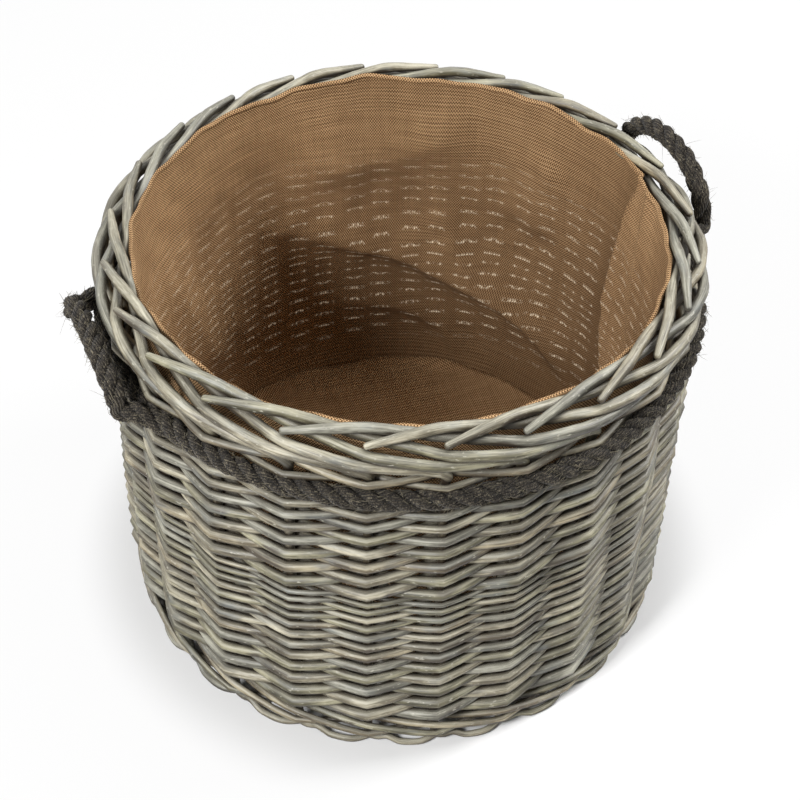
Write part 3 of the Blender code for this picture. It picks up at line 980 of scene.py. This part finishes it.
def lay_rope(name, points, seed, closed=False):
    """Three strands of yarns twisted round a line, as one object, and the line with its axes."""
    chance = np.random.default_rng(seed)
    line, length = resampled(np.asarray(points, float), ROPE_STEP, closed)
    along, across, upward = carried_axes(line, closed)
    turns = length / ROPE_LAY
    yarn_turns = YARN_TWIST * length / (2 * math.pi)
    if closed:
        turns, yarn_turns = round(turns), round(yarn_turns)
    share = np.arange(len(line)) / (len(line) if closed else len(line) - 1)
    circle = 2 * math.pi * share
    run = share * length
    vertices, faces, grain = [], [], []
    first = 0
    for strand in range(ROPE_STRANDS):
        phase = turns * circle + 2 * math.pi * strand / ROPE_STRANDS
        offset = np.cos(phase)[:, None] * across + np.sin(phase)[:, None] * upward
        lump = 1 + LUMP * np.sin(round(LUMPS_PER_METRE * length) * circle + seed + 2 * strand)
        middle = line + offset * (STRAND_OFFSET * lump)[:, None]
        _, sides, ups = carried_axes(middle, closed)
        for yarn in range(-1, YARNS):
            if yarn < 0:
                spot, radius, count = middle, CORE_RADIUS, CORE_SIDES
            else:
                waves = round(chance.uniform(*YARN_WAVES) * length)
                slack = YARN_CIRCLE + YARN_SLACK * np.sin(waves * circle + yarn)
                wound = 2 * math.pi * yarn / YARNS - yarn_turns * circle
                out = np.cos(wound)[:, None] * sides + np.sin(wound)[:, None] * ups
                spot = middle + out * slack[:, None]
                radius, count = YARN_RADIUS * chance.uniform(*YARN_SWELL), YARN_SIDES
            places = spot[:, None] + circles_round(count, sides, ups) * radius
            vertices.append(places.reshape(-1, 3))
            faces += tube_faces(len(line), count, closed, first)
            first += len(vertices[-1])
            shift = chance.uniform(0, 9)
            grain.append(
                np.column_stack([np.repeat(run + shift, count), vertices[-1][:, :2] + shift])
            )
    piece = add_mesh(name, np.vstack(vertices), faces, ROPE_FINISH, {"grain": np.vstack(grain)})
    return piece, line, along, across, upward


# %% [markdown]
# ### Loose fibres
#
# An old rope is hairy. Particle hair would be quick to make, but it isn't a mesh and would be
# lost when the model is handed on, so each fibre is a thin bent tube with three sides. Most of
# them lie along the rope, and some stand off it.

# %% Grow the fibres
FIBRE_STEPS = 4
FIBRE_SIDES = 3
FIBRE_RADII = np.array([0.00013, 0.00012, 0.00010, 0.00005])
STRAND_RADIUS = 0.0043
LONGEST_FIBRE = 0.010
STANDING_SHARE = 0.3
# A lying fibre leans far along the rope, is short and is a little thicker
LYING_LEAN = 5
LYING_LENGTH = (0.003, 0.006)
LYING_FULLNESS = 1.7


def loose_fibres(name, line, along, across, upward, count, seed):
    """Short bent hairs on a rope, as one object."""
    chance = random.Random(seed)
    vertices, faces, grain = [], [], []
    for _ in range(count):
        spot = chance.randrange(1, len(line) - 1)
        angle = chance.uniform(0, 2 * math.pi)
        out = math.cos(angle) * across[spot] + math.sin(angle) * upward[spot]
        stands = chance.random() < STANDING_SHARE
        direction = chance.choice((-1, 1))
        if stands:
            lean = along[spot] * direction * chance.uniform(0.4, 2)
            length = chance.uniform(0.25, 1) ** 2 * LONGEST_FIBRE
        else:
            lean = along[spot] * direction * LYING_LEAN
            length = chance.uniform(*LYING_LENGTH)
        way = (out + lean) / np.linalg.norm(out + lean)
        droop = np.array([chance.uniform(-0.8, 0.8) for _ in range(3)]) * length
        start = line[spot] + out * (STRAND_OFFSET + STRAND_RADIUS * chance.uniform(0.6, 1.0))
        shares = np.linspace(0, 1, FIBRE_STEPS)
        points = np.array([start + way * length * t + droop * t * t for t in shares])
        radii = FIBRE_RADII * (1 if stands else LYING_FULLNESS)
        _, sides, ups = carried_axes(points, False)
        places = points[:, None] + circles_round(FIBRE_SIDES, sides, ups) * radii[:, None, None]
        first = len(vertices) * FIBRE_STEPS * FIBRE_SIDES
        faces += tube_faces(FIBRE_STEPS, FIBRE_SIDES, False, first)
        vertices.append(places.reshape(-1, 3))
        grain.append(np.full((FIBRE_STEPS * FIBRE_SIDES, 3), chance.uniform(0, 9)))
    grain = {"grain": np.vstack(grain)}
    return add_mesh(name, np.vstack(vertices), faces, FIBRE_FINISH, grain)


# %% [markdown]
# ### The band round the neck
#
# The band is a closed ring of rope in front of the stakes, and the ends of both handles run into
# it.

# %% Make the band
ROPE_RADIUS = stake_radius(ROPE_LEVEL) + (BORDER_ROD + ROPE) / 2 + STAKE_ROOM
# The strands squeeze together, so the band is drawn a little above its solid's middle
ROPE_LIFT = 0.0020
BAND_STEPS = 480
BAND_SEED = 5
BAND_FIBRES, BAND_FIBRE_SEED = 3200, 51

ring = np.array(
    [
        polar(ROPE_RADIUS, 2 * math.pi * step / BAND_STEPS, ROPE_LEVEL + ROPE_LIFT)
        for step in range(BAND_STEPS)
    ]
)
band, *axes = lay_rope("rope_round_neck", ring, BAND_SEED, closed=True)
stand_for(band, "rope_band")
hairs = loose_fibres("neck_fibres", *axes, BAND_FIBRES, BAND_FIBRE_SEED)
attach(hairs, "root")
print(f"rope band: {2 * math.pi * ROPE_RADIUS:.3f} m of rope at radius {ROPE_RADIUS:.4f} m")

# %% [markdown]
# ### The two loops
#
# Each handle is one rope that leaves the band, makes its loop and goes back. A real loop has no
# hinge: the rope bends at its two roots.

# %% Make the handles
HANDLE_HALF_WIDTH = 0.0600
EXIT_START_SHARE = 1.6
EXIT_LEVEL_SHARE = 1.1
# How far the rope's end runs on inside the band, as a share of its last stretch
TUCK_SHARE = 0.6
HINGE_RADIUS = ROPE_RADIUS + ROPE + CLEARANCE
HINGE_LEVEL = ROPE_LEVEL + ROPE / 2
# How many corners a loop has, its two roots among them
LOOP_CORNERS = 13
LOOP_STEP = 0.004
LOOP_FIBRES = 620
# Body, bearing, reach, tilt, how square the loop is, and how far up its rope bends when lowered
HANDLES = (
    ("left_handle", LEFT_BEARING, 0.0240, math.radians(85), 0.72, 0.018),
    ("right_handle", RIGHT_BEARING, 0.0510, math.radians(88), 0.95, 0.024),
)


def handle_line(bearing, handle_reach, tilt, loop_share):
    """The handle's line from the band, round its loop and back, with its hinge and way up."""
    outwards = np.array((math.cos(tilt), 0, math.sin(tilt)))
    hinge = np.array((HINGE_RADIUS, 0, HINGE_LEVEL))
    aside = HANDLE_HALF_WIDTH + EXIT_START_SHARE * ROPE
    start = np.array((math.sqrt(ROPE_RADIUS**2 - aside**2), aside, ROPE_LEVEL))
    root = hinge + np.array((0, HANDLE_HALF_WIDTH, 0))
    level_way = (start - root) * (1, 1, 0)
    level_way /= np.linalg.norm(level_way)
    risen = root + level_way * EXIT_LEVEL_SHARE * ROPE
    before = start + (start - risen) * TUCK_SHARE * (1, 1, 0)
    corners = [before, start, risen, root]
    for turn in np.linspace(0, math.pi, LOOP_CORNERS)[1:-1]:
        across = math.copysign(abs(math.cos(turn)) ** loop_share, math.cos(turn))
        reach = math.sin(turn) ** loop_share * handle_reach
        corners.append(hinge + outwards * reach + np.array((0, across * HANDLE_HALF_WIDTH, 0)))
    mirror = np.array((1, -1, 1))
    corners += [corner * mirror for corner in (root, risen, start, before)]
    round_axis = np.array(Matrix.Rotation(bearing, 3, "Z"))
    line = smooth_line(corners, LOOP_STEP) @ round_axis.T
    return line, round_axis @ hinge, round_axis @ outwards


for body, bearing, reach, tilt, loop_share, bend_reach in HANDLES:
    line, hinge, outwards = handle_line(bearing, reach, tilt, loop_share)
    cut_length = np.linalg.norm(np.diff(line, axis=0), axis=1).sum()
    print(f"{body}: {cut_length:.3f} m of rope")
    seed = round(1000 * reach)
    loop, *axes = lay_rope(f"{body}_rope", line, seed)
    hairs = loose_fibres(f"{body}_fibres", *axes, LOOP_FIBRES, seed)
    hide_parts(body)
    for piece in (loop, hairs):
        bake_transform(piece)

# %% [markdown]
# ## The hessian liner
#
# The liner is a bag of plain jute cloth: a round bottom panel and a long wall panel whose ends
# overlap in one upright seam. Real threads are about a millimetre apart, finer than the picture
# can show, so the finish draws them two to three times as wide. Small gaps between the rods let
# light through the cloth, and pale dashes show in two columns at each stake. A lamp behind the
# wall would flood every gap, so the dashes are painted, and glow a little.

# %% Make the hessian finishes
WARP_STEP = 0.0024
WEFT_STEP = 0.0030
RIB_STEP = 0.0036
# How fine each marking is: per metre round the wall and up it
THREAD_WOBBLE = (70, 70, 1)
RIBS = (22, 330, 1)
COLUMNS = (330, 22, 1)
CLOUDS = (9, 9, 1)
DASH_STRENGTHS = (3.1, 1.7, 0)
# Painted shade: the dark colour the cloth takes where less light reaches it
SHADED_CLOTH = (0.075, 0.040, 0.018)
LIT_CLOTH = (0.84, 0.72, 0.54)
CLOTH_GLOW = (0.21, 0.175, 0.13)
THREAD_DEPTH = 0.0007


def hessian(name, dashes):
    """Jute cloth, whose points carry metres along the weft and up the warp, and their painted
    shade.
    """
    finish = Finish(name, Specular_IOR_Level=0.15)
    cloth = finish.carried("cloth")
    apart, weft, painted_shade = (finish.part(cloth, axis) for axis in range(3))
    wobble = finish.noise(finish.place_on("cloth", THREAD_WOBBLE)) * 3
    warp_wave = (apart * (2 * math.pi / WARP_STEP) + wobble).sine()
    weft_wave = (weft * (2 * math.pi / WEFT_STEP) + wobble).sine()
    thread = warp_wave * weft_wave
    rib_wave = (weft * (2 * math.pi / RIB_STEP) + wobble).sine()
    ribs = finish.noise(finish.place_on("cloth", RIBS), roughness=0.6)
    columns = finish.noise(finish.place_on("cloth", COLUMNS), roughness=0.6)
    cloudy = finish.noise(finish.place_on("cloth", CLOUDS), detail=3)
    ribbed = cloudy.above(0.44, 0.58) * 0.24
    tone = 0.5 + thread * 0.95 + rib_wave * ribbed + (ribs - 0.5) * 0.60 + (columns - 0.5) * 0.32
    tone = tone + (cloudy - 0.5) * 0.45
    stops = [
        (0.16, (0.080, 0.037, 0.014)),
        (0.50, (0.370, 0.212, 0.096)),
        (0.84, (0.780, 0.510, 0.275)),
    ]
    colour = finish.add("ValToRGB", {"stops": stops}, {"Fac": tone})
    # Painted shade, deeper where less light reaches the cloth
    colour = finish.mixed(painted_shade, colour, SHADED_CLOTH)
    if dashes:
        wall = finish.carried("wall")
        bay, row, share = (finish.part(wall, axis) for axis in range(3))
        strength = finish.noise(finish.place_on("wall", DASH_STRENGTHS))
        line = 1 - (row.sine().size()).above(0.14, 0.58)
        column = bay.above(0.0, 0.6)
        comb = (apart * (2 * math.pi / WARP_STEP)).sine() * 0.4 + 0.6
        glow = (line * column * comb * share * strength.above(0.42, 0.68)).held()
        colour = finish.mixed(glow * 0.70, colour, LIT_CLOTH)
        finish.feed("Emission Color", finish.mixed(glow, (0, 0, 0), CLOTH_GLOW))
        finish.feed("Emission Strength", 1)
    finish.feed("Base Color", colour)
    finish.feed("Roughness", 0.92 - thread * 0.05)
    finish.bump(thread * 0.5 + ribs * 1.2 + columns * 0.6, 0.55, THREAD_DEPTH)
    return finish.material


WALL_CLOTH = hessian("hessian_wall", True)
PLAIN_CLOTH = hessian("hessian_plain", False)
print("two finishes for the cloth")

# %% [markdown]
# ### Folds
#
# The wall panel stands off the rods in folds. A cloth simulation would drape it in its own way,
# and these folds have to lie where the photograph has them, so each fold is a crest through a few
# points with its own width above and below. One long fold crosses the back of the basket and runs
# down to the bottom on the right.

# %% Draw the folds
# The radius at which bearings become metres of cloth
CLOTH_RADIUS = 0.2165
# Crest points as bearing in degrees and height, then depth, width above and width below
FOLDS = (
    (
        (
            (118, 0.232), (103, 0.215), (93, 0.200), (83, 0.188), (75, 0.179), (64, 0.159),
            (53, 0.148), (43, 0.140), (36, 0.124), (27, 0.089), (20, 0.055),
        ),
        0.019, 0.030, 0.015,
    ),
    (
        ((108, 0.272), (96, 0.277), (88, 0.281), (75, 0.290), (65, 0.308), (55, 0.335)),
        0.015, 0.040, 0.040,
    ),
    (
        ((72, 0.250), (64, 0.236), (60, 0.196), (53, 0.156), (42, 0.134), (32, 0.103)),
        0.008, 0.014, 0.024,
    ),
    (((96, 0.110), (84, 0.112), (72, 0.102), (62, 0.080), (55, 0.040)), 0.008, 0.018, 0.010),
    (((150, 0.300), (143, 0.220), (132, 0.140), (128, 0.080)), 0.010, 0.040, 0.040),
    (((32, 0.330), (36, 0.280), (40, 0.220)), 0.008, 0.030, 0.025),
    (((200, 0.240), (222, 0.215), (240, 0.170), (252, 0.120), (258, 0.070)), 0.012, 0.022, 0.014),
    (((290, 0.270), (310, 0.236), (325, 0.190), (331, 0.120)), 0.012, 0.024, 0.016),
)
# A fold's slopes fall away roundly above its crest and sharply below
ROUND_SLOPE, SHARP_SLOPE = 1.6, 1.15
# The share of a crest over which a fold rises at its start and sinks at its end
FOLD_RISE, FOLD_SINK = 0.34, 0.22


def rising(value, start, reach):
    """0 up to start, 1 from a reach further, and straight between them."""
    return np.clip((value - start) / reach, 0, 1)


def nearest_on(line, around, height, radius):
    """Distance to a crest line, which side of it, and how near its ends, for arrays of points."""
    corners = np.array([(math.radians(bearing) * radius, level) for bearing, level in line])
    steps = np.linalg.norm(np.diff(corners, axis=0), axis=1)
    run = np.concatenate([[0], np.cumsum(steps)])
    best = np.full(around.shape, 1e9)
    side = np.zeros(around.shape)
    along = np.zeros(around.shape)
    for number, (first, last) in enumerate(zip(corners, corners[1:])):
        way = (last - first) / steps[number]
        x, y = around * radius - first[0], height - first[1]
        travel = np.clip(x * way[0] + y * way[1], 0, steps[number])
        away = np.hypot(x - travel * way[0], y - travel * way[1])
        nearer = away < best
        best = np.where(nearer, away, best)
        side = np.where(nearer, way[0] * y - way[1] * x, side)
        along = np.where(nearer, (run[number] + travel) / run[-1], along)
    return best, side, along


print(len(FOLDS), "folds")

# %% [markdown]
# ### Seam
#
# The panel's two ends overlap in one upright seam, which isn't quite straight. At the seam the
# upper layer lies a step further in, and further from it the step fades away.

# %% Draw the seam
SEAM_LINE = (
    (5, 0.357), (9, 0.319), (12, 0.255), (13.7, 0.210), (12.4, 0.170), (10.5, 0.129), (8, 0.040),
)
SEAM_STEP = 0.0040
# How far past the seam the step is full, and where it has faded away and over how much, in radians
SEAM_EDGE = 0.012
LAP_END, LAP_FADE = 0.45, 0.35


def past_seam(angle, height):
    """How far a bearing lies past the upright seam, on the side where the upper layer is."""
    turned = np.mod(angle + math.pi, 2 * math.pi) - math.pi
    bearings, heights = zip(*SEAM_LINE[::-1])
    return math.radians(1) * np.interp(height, heights, bearings) - turned


print("a seam of", len(SEAM_LINE), "points")

# %% [markdown]
# ### Where the cloth hangs
#
# The cloth hangs behind the rods and sags between them in small waves. It is taut near the hem
# and where it is sewn to the bottom panel. Each point also carries how much painted shade it
# takes.

# %% Hang the cloth
CLOTH = 0.0015
LINER_ROOM = 0.0015
BROAD_SAG, NARROW_SAG, CREASE_DEPTH = 0.0016, 0.0010, 0.0007
# The sag begins at a height near the bottom, and grows over a reach above it
SAG_START, SAG_REACH = 0.04, 0.10
# Above this height a share of the sag is left, and all of it from a reach further down
TAUT_HEIGHT, TAUT_REACH, TAUT_SHARE = 0.357, 0.05, 0.35


def liner_radius(height):
    """Outside of the cloth: inside the rods behind the stakes and the border's inner rod."""
    inside_border = RIM_RADIUS + (min(share[1] for share in BORDER_SHARES) - 0.5) * BORDER_ROD
    behind_stakes = STAKE_ROD / 2 + max(ROWS) + STAKE_ROOM
    if height > TOP_ROW_HEIGHTS[0]:
        behind_stakes = STAKE_ROD / 2 + TOP_ROW_ROD + STAKE_ROOM
    return min(stake_radius(height) - behind_stakes, inside_border) - LINER_ROOM


def cloth_folds(angle, height):
    """How far the wall panel stands off the rods."""
    sag = BROAD_SAG * (1 + np.sin(5 * angle + 9 * height))
    sag = sag + NARROW_SAG * (1 + np.sin(11 * angle - 14 * height))
    creases = np.sin(31 * angle + 5 * np.sin(30 * height)) * np.sin(40 * height + 3 * angle)
    below_border = rising(-height, -TAUT_HEIGHT, TAUT_REACH)
    held_in = TAUT_SHARE + (1 - TAUT_SHARE) * below_border
    off = (sag + CREASE_DEPTH * creases) * rising(height, SAG_START, SAG_REACH) * held_in
    for line, depth, above, below in FOLDS:
        middle = math.radians(sum(bearing for bearing, _ in line) / len(line))
        around = np.mod(angle - middle + math.pi, 2 * math.pi) - math.pi + middle
        away, side, along = nearest_on(line, around, height, CLOTH_RADIUS)
        # Where a line runs to smaller bearings, what lies above it has a negative side
        forwards = 1 if line[-1][0] > line[0][0] else -1
        is_above = side * forwards > 0
        width = np.where(is_above, above, below)
        power = np.where(is_above, ROUND_SLOPE, SHARP_SLOPE)
        ends = rising(along, 0, FOLD_RISE) * rising(-along, -1, FOLD_SINK)
        ends = ends * ends * (3 - 2 * ends)
        off = off + depth * ends * np.exp(-((away / width) ** power))
    past = past_seam(angle, height)
    return off + SEAM_STEP * rising(past, 0, SEAM_EDGE) * rising(-past, -LAP_END, LAP_FADE)


def painted_cloth_shade(angle, height):
    """Painted shade on the cloth: darker low down, on the right and beside the seam."""
    low = rising(-height, -0.320, 0.16)
    right = np.clip(0.5 + 0.9 * np.cos(angle - 0.35), 0, 1)
    past = past_seam(angle, height)
    beside = np.exp(-np.clip(-past, 0, 9) / 0.16) * (past < 0)
    upper = rising(past, 0, 0.01) * rising(-past, -0.5, 0.3)
    return np.clip(0.02 + 0.26 * low + 0.44 * right * (1 - 0.45 * upper) + 0.20 * beside, 0, 0.85)


print(f"the cloth lies {liner_radius(ROPE_LEVEL):.4f} m from the axis at the neck")

# %% [markdown]
# ### The upper edge
#
# The cloth's upper edge isn't quite level: it rises and falls a little, sinks towards the front,
# and leans out to the border in some places more than in others.

# %% Shape the upper edge
# How far the edge lies below the border's top, sinks at the front and leans out
LINER_DROP = 0.0065
HEM_SINK = 0.0022
HEM_OUT = 0.0018
# Waves round the edge: how high, how many to a turn, and where they start
HEM_WAVES = ((0.0014, 9, 1), (0.0010, 23, 0))
LEAN_WAVES = ((0.0009, 17, 0), (0.0006, 41, 2))


def waves_round(angle, table):
    """The sum of a table's waves at a bearing."""
    return sum(size * np.sin(count * angle + start) for size, count, start in table)


def hem_height(angle):
    """The cloth's upper edge, which sinks a little towards the front."""
    front = HEM_SINK * (np.sin(angle) - 1)
    return BORDER_TOP - LINER_DROP + waves_round(angle, HEM_WAVES) + front


def hem_lean(angle):
    """How far the upper edge leans in. Below 0 it leans out, to the border."""
    return waves_round(angle, LEAN_WAVES) - HEM_OUT


print(f"upper edge {hem_height(0):.4f} m above the floor at the right")

# %% [markdown]
# ### The wall panel
#
# The panel is a grid of points round the wall and up it. Each point carries its place on the flat
# cloth for the threads, and its place on the wall for the dashes. Its lower edge curves in to
# meet the bottom panel.

# %% Make the wall panel
LINER_COLUMNS = 420
LINER_ROWS = 84
# At how many heights the wall's radius is worked out
RADIUS_SAMPLES = 400
FLOOR_SEAM_RADIUS = 0.1985
# The share of the height over which the cloth curves in at the bottom, and leans out at the hem
CURVE_SHARE = 0.14
HEM_SHARE = 0.1
# How far to each side of a stake the dashes are, and how wide their column is, in bays
DASH_PLACE = 0.23
DASH_WIDTH = 0.22
# Between which heights dashes show, and over how much height they come and go
DASHES_LOW, DASHES_HIGH = 0.06, 0.300
DASHES_IN, DASHES_OUT = 0.03, 0.02
# The cloth as it is drawn, thinner than its solid
CLOTH_SHOWN = 0.0008


def thickened(piece):
    """Gives a sheet of cloth its thickness, towards its back."""
    thick = piece.modifiers.new("thickness", "SOLIDIFY")
    thick.thickness = CLOTH_SHOWN
    thick.offset = -1


FLOOR_LEVEL = BASE_TOP + CLEARANCE
BOTTOM_EDGE = FLOOR_LEVEL + CLOTH
angles = np.arange(LINER_COLUMNS) * 2 * math.pi / LINER_COLUMNS
levels = np.linspace(0, BORDER_TOP, RADIUS_SAMPLES)
wall_radii = np.array([liner_radius(level) for level in levels])
bay = angles * STAKES / (2 * math.pi) - 0.5
nearest_stake = np.round(bay)
column = np.clip(1 - np.abs(np.abs(bay - nearest_stake) - DASH_PLACE) / DASH_WIDTH, 0, 1)
# The two columns of a stake have their dashes at every second row, one row apart
parity = np.where(bay - nearest_stake > 0, 0.5, 0) + nearest_stake
places, cloth_at, wall_at = [], [], []
for share in np.linspace(0, 1, LINER_ROWS):
    height = BOTTOM_EDGE + share * (hem_height(angles) - FLOOR_LEVEL - CLOTH)
    corner = 1 - (1 - rising(share, 0, CURVE_SHARE)) ** 2
    wall = np.interp(height, levels, wall_radii)
    radius = FLOOR_SEAM_RADIUS + (wall - FLOOR_SEAM_RADIUS) * corner
    radius = radius - cloth_folds(angles, height)
    radius = radius - hem_lean(angles) * rising(share, 1 - HEM_SHARE, HEM_SHARE)
    places.append(np.stack([radius * np.cos(angles), radius * np.sin(angles), height], axis=1))
    # Each point carries its place on the flat cloth and its painted shade
    cloth_at.append(np.stack([angles * CLOTH_RADIUS, height, painted_cloth_shade(angles, height)], axis=1))
    row = np.interp(height, ROW_HEIGHTS, range(len(ROW_HEIGHTS)))
    seen = rising(height, DASHES_LOW, DASHES_IN) * rising(-height, -DASHES_HIGH, DASHES_OUT)
    wall_at.append(np.stack([column, (row + parity) * math.pi / 2, seen], axis=1))
wall_panel = add_mesh(
    "liner_wall",
    np.vstack(places),
    ring_faces(LINER_ROWS, LINER_COLUMNS, False),
    WALL_CLOTH,
    {"cloth": np.vstack(cloth_at), "wall": np.vstack(wall_at)},
)
thickened(wall_panel)
stand_for(wall_panel, "liner")
print("wall panel of", LINER_ROWS, "by", LINER_COLUMNS, "points")

# %% [markdown]
# ### The hem
#
# The upper edge is turned over and stitched, so it is thicker than the cloth. A flat roll along
# the panel's last row of points does this, and hides the cut edge.

# %% Make the hem
HEM_SIDES = 8
HEM_DEPTH = 0.0019
HEM_HEIGHT = 0.0026
HEM_RISE = 0.0005
HEM_ROLL = 0.002
# How much painted shade the hem takes, the same all round
HEM_SHADE = 0.22

hem_line = places[-1].copy()
hem_line[:, 2] += HEM_RISE
_, across, upward = carried_axes(hem_line, True)
roll = circles_round(HEM_SIDES, across * HEM_DEPTH, upward * HEM_HEIGHT)
hem_at = np.stack(
    [
        np.repeat(angles * CLOTH_RADIUS, HEM_SIDES),
        np.tile(np.arange(HEM_SIDES) * 2 * math.pi / HEM_SIDES * HEM_ROLL, LINER_COLUMNS),
        np.full(HEM_SIDES * LINER_COLUMNS, HEM_SHADE),
    ],
    axis=1,
)
hem = add_mesh(
    "liner_hem",
    (hem_line[:, None] + roll).reshape(-1, 3),
    tube_faces(LINER_COLUMNS, HEM_SIDES, True),
    PLAIN_CLOTH,
    {"cloth": hem_at},
)
stand_for(hem, "liner")
print("hem", round(2 * HEM_HEIGHT, 4), "m high")

# %% [markdown]
# ### The bottom panel
#
# The bottom panel lies loose on the base, so it ripples a little and lifts at its edge, where the
# wall panel is sewn on. Rings of points round one middle point make the disc.

# %% Make the bottom panel
PANEL_RINGS = 40
PANEL_RISE = 0.0012
PANEL_LAP = 0.001
EDGE_START = 0.955
RIPPLE = 0.0011
EDGE_LIFT = 0.0052
EDGE_WAVE = 0.0012
# Painted shade on the bottom panel, deep in the basket where less light reaches
FLOOR_SHADE = 0.22

middle_point = (0, 0, BOTTOM_EDGE + PANEL_RISE)
panel_points, panel_cloth = [[middle_point]], [[(0, 0, FLOOR_SHADE)]]
for ring_number in range(1, PANEL_RINGS + 1):
    share = ring_number / PANEL_RINGS
    radius = share * (FLOOR_SEAM_RADIUS + PANEL_LAP)
    spot = np.stack([radius * np.cos(angles), radius * np.sin(angles)], axis=1)
    ripple = RIPPLE * np.sin(34 * spot[:, 0] + 1) * np.sin(27 * spot[:, 1] + 2)
    edge = rising(share, EDGE_START, 1 - EDGE_START)
    lift = EDGE_LIFT * edge * (0.6 + 0.4 * np.sin(7 * angles))
    lift = lift + EDGE_WAVE * np.sin(19 * angles) * edge
    level = BOTTOM_EDGE + PANEL_RISE + ripple * (1 - edge) + lift
    panel_points.append(np.column_stack([spot, level]))
    panel_cloth.append(np.column_stack([spot, np.full(len(spot), FLOOR_SHADE)]))
panel_faces = [(0, 1 + c, 1 + (c + 1) % LINER_COLUMNS) for c in range(LINER_COLUMNS)]
# The rings run outwards, so their quads are turned round to face up
for quad in ring_faces(PANEL_RINGS, LINER_COLUMNS, False, first=1):
    panel_faces.append((quad[0], *quad[:0:-1]))
panel = add_mesh(
    "liner_bottom",
    np.vstack(panel_points),
    panel_faces,
    PLAIN_CLOTH,
    {"cloth": np.vstack(panel_cloth)},
)
thickened(panel)
stand_for(panel, "liner")
print("bottom panel of", PANEL_RINGS, "rings")

# %% [markdown]
# ### The panels' flat size
#
# A sewn panel was cut flat, so its flat size follows from the area of its shape.


# %% [markdown]
# ## The floor
#
# The floor is pale and keeps the basket's shadow. Away from the basket it fades to plain white
# for the camera, as in a studio where the floor runs up into the backdrop. That comes from a mix
# with a white glow that only camera rays see, so no extra light falls on the basket.

# %% Make the floor
FLOOR_SIZE = 14
WHITE = (1, 1, 1)
# How far from the middle the floor starts to turn white, where it is white, and how white it gets
SHADOW_RADIUS, WHITE_RADIUS, WHITENESS = 0.242, 0.305, 0.88

floor_mesh = bpy.data.meshes.new("floor")
half = FLOOR_SIZE / 2
floor_mesh.from_pydata(
    [(-half, -half, 0), (half, -half, 0), (half, half, 0), (-half, half, 0)], [], [(0, 1, 2, 3)]
)
floor = bpy.data.objects.new("floor", floor_mesh)
bpy.context.scene.collection.objects.link(floor)
pale = Finish("pale_floor", Base_Color=(0.86, 0.86, 0.86), Roughness=0.9)
floor_mesh.materials.append(pale.material)
seen_by_camera = pale.add("LightPath", output="Is Camera Ray")
position = pale.add("NewGeometry", output="Position")
east, north = pale.part(position, 0), pale.part(position, 1)
away = (east * east + north * north) ** 0.5
whitened = seen_by_camera * away.above(SHADOW_RADIUS, WHITE_RADIUS) * WHITENESS
glow = pale.add("Emission", {}, {"Color": WHITE, "Strength": 1})
surface = pale.mixed_shader(whitened, Wire(pale, pale.shader.outputs["BSDF"]), glow)
pale.join(surface, pale.tree.nodes["Material Output"].inputs["Surface"])
print("floor", FLOOR_SIZE, "m wide")

# %% [markdown]
# ## The lamps
#
# A lamp at the left gives the rods their shine, and a weaker one at the right opens the shadows
# there. A wide, dim one hangs above. Round lamps this large have soft shadows, as studio lamps
# have.

# %% Hang the lamps
# Name, place, what it is aimed at, how wide it is and its power in watts
LAMPS = (
    ("key", (-2.0, -0.9, 1.9), (0, 0, 0.2), 0.8, 80),
    ("side", (1.9, -0.3, 2.0), (0, 0, 0.25), 1.0, 58),
    ("top", (0.2, 0.3, 2.6), (0, 0, 0.2), 1.4, 9),
)


def add_lamp(name, place, target, size, power):
    """A round lamp at a place that shines at a target."""
    data = bpy.data.lights.new(name, "AREA")
    data.shape = "DISK"
    data.size = size
    data.energy = power
    lamp = bpy.data.objects.new(name, data)
    lamp.location = place
    lamp.rotation_euler = (Vector(target) - Vector(place)).to_track_quat("-Z", "Y").to_euler()
    bpy.context.scene.collection.objects.link(lamp)
    print(name, "lamp of", power, "W")


for lamp in LAMPS:
    add_lamp(*lamp)

# %% [markdown]
# ## The world
#
# The world fills the shadows faintly. To the camera, and in what shines or is clear, it is plain
# white: a strength of 1 is white, and it costs no light on the basket.

# %% Make the world
WORLD_STRENGTH = 0.16

world = bpy.data.worlds.new("studio")
bpy.context.scene.world = world
world.use_nodes = True
studio = Graph(world.node_tree)
studio.tree.nodes.clear()
camera_ray, clear_ray, shiny_ray = (
    studio.add("LightPath", output=output)
    for output in ("Is Camera Ray", "Is Transmission Ray", "Is Glossy Ray")
)
plain = studio.add("Background", {}, {"Color": WHITE, "Strength": WORLD_STRENGTH})
white = studio.add("Background", {}, {"Color": WHITE, "Strength": 1})
backdrop = studio.mixed_shader(camera_ray.either(clear_ray).either(shiny_ray), plain, white)
studio.add("OutputWorld", {}, {"Surface": backdrop})
bpy.context.scene.view_settings.view_transform = "Standard"
print("world of strength", WORLD_STRENGTH)
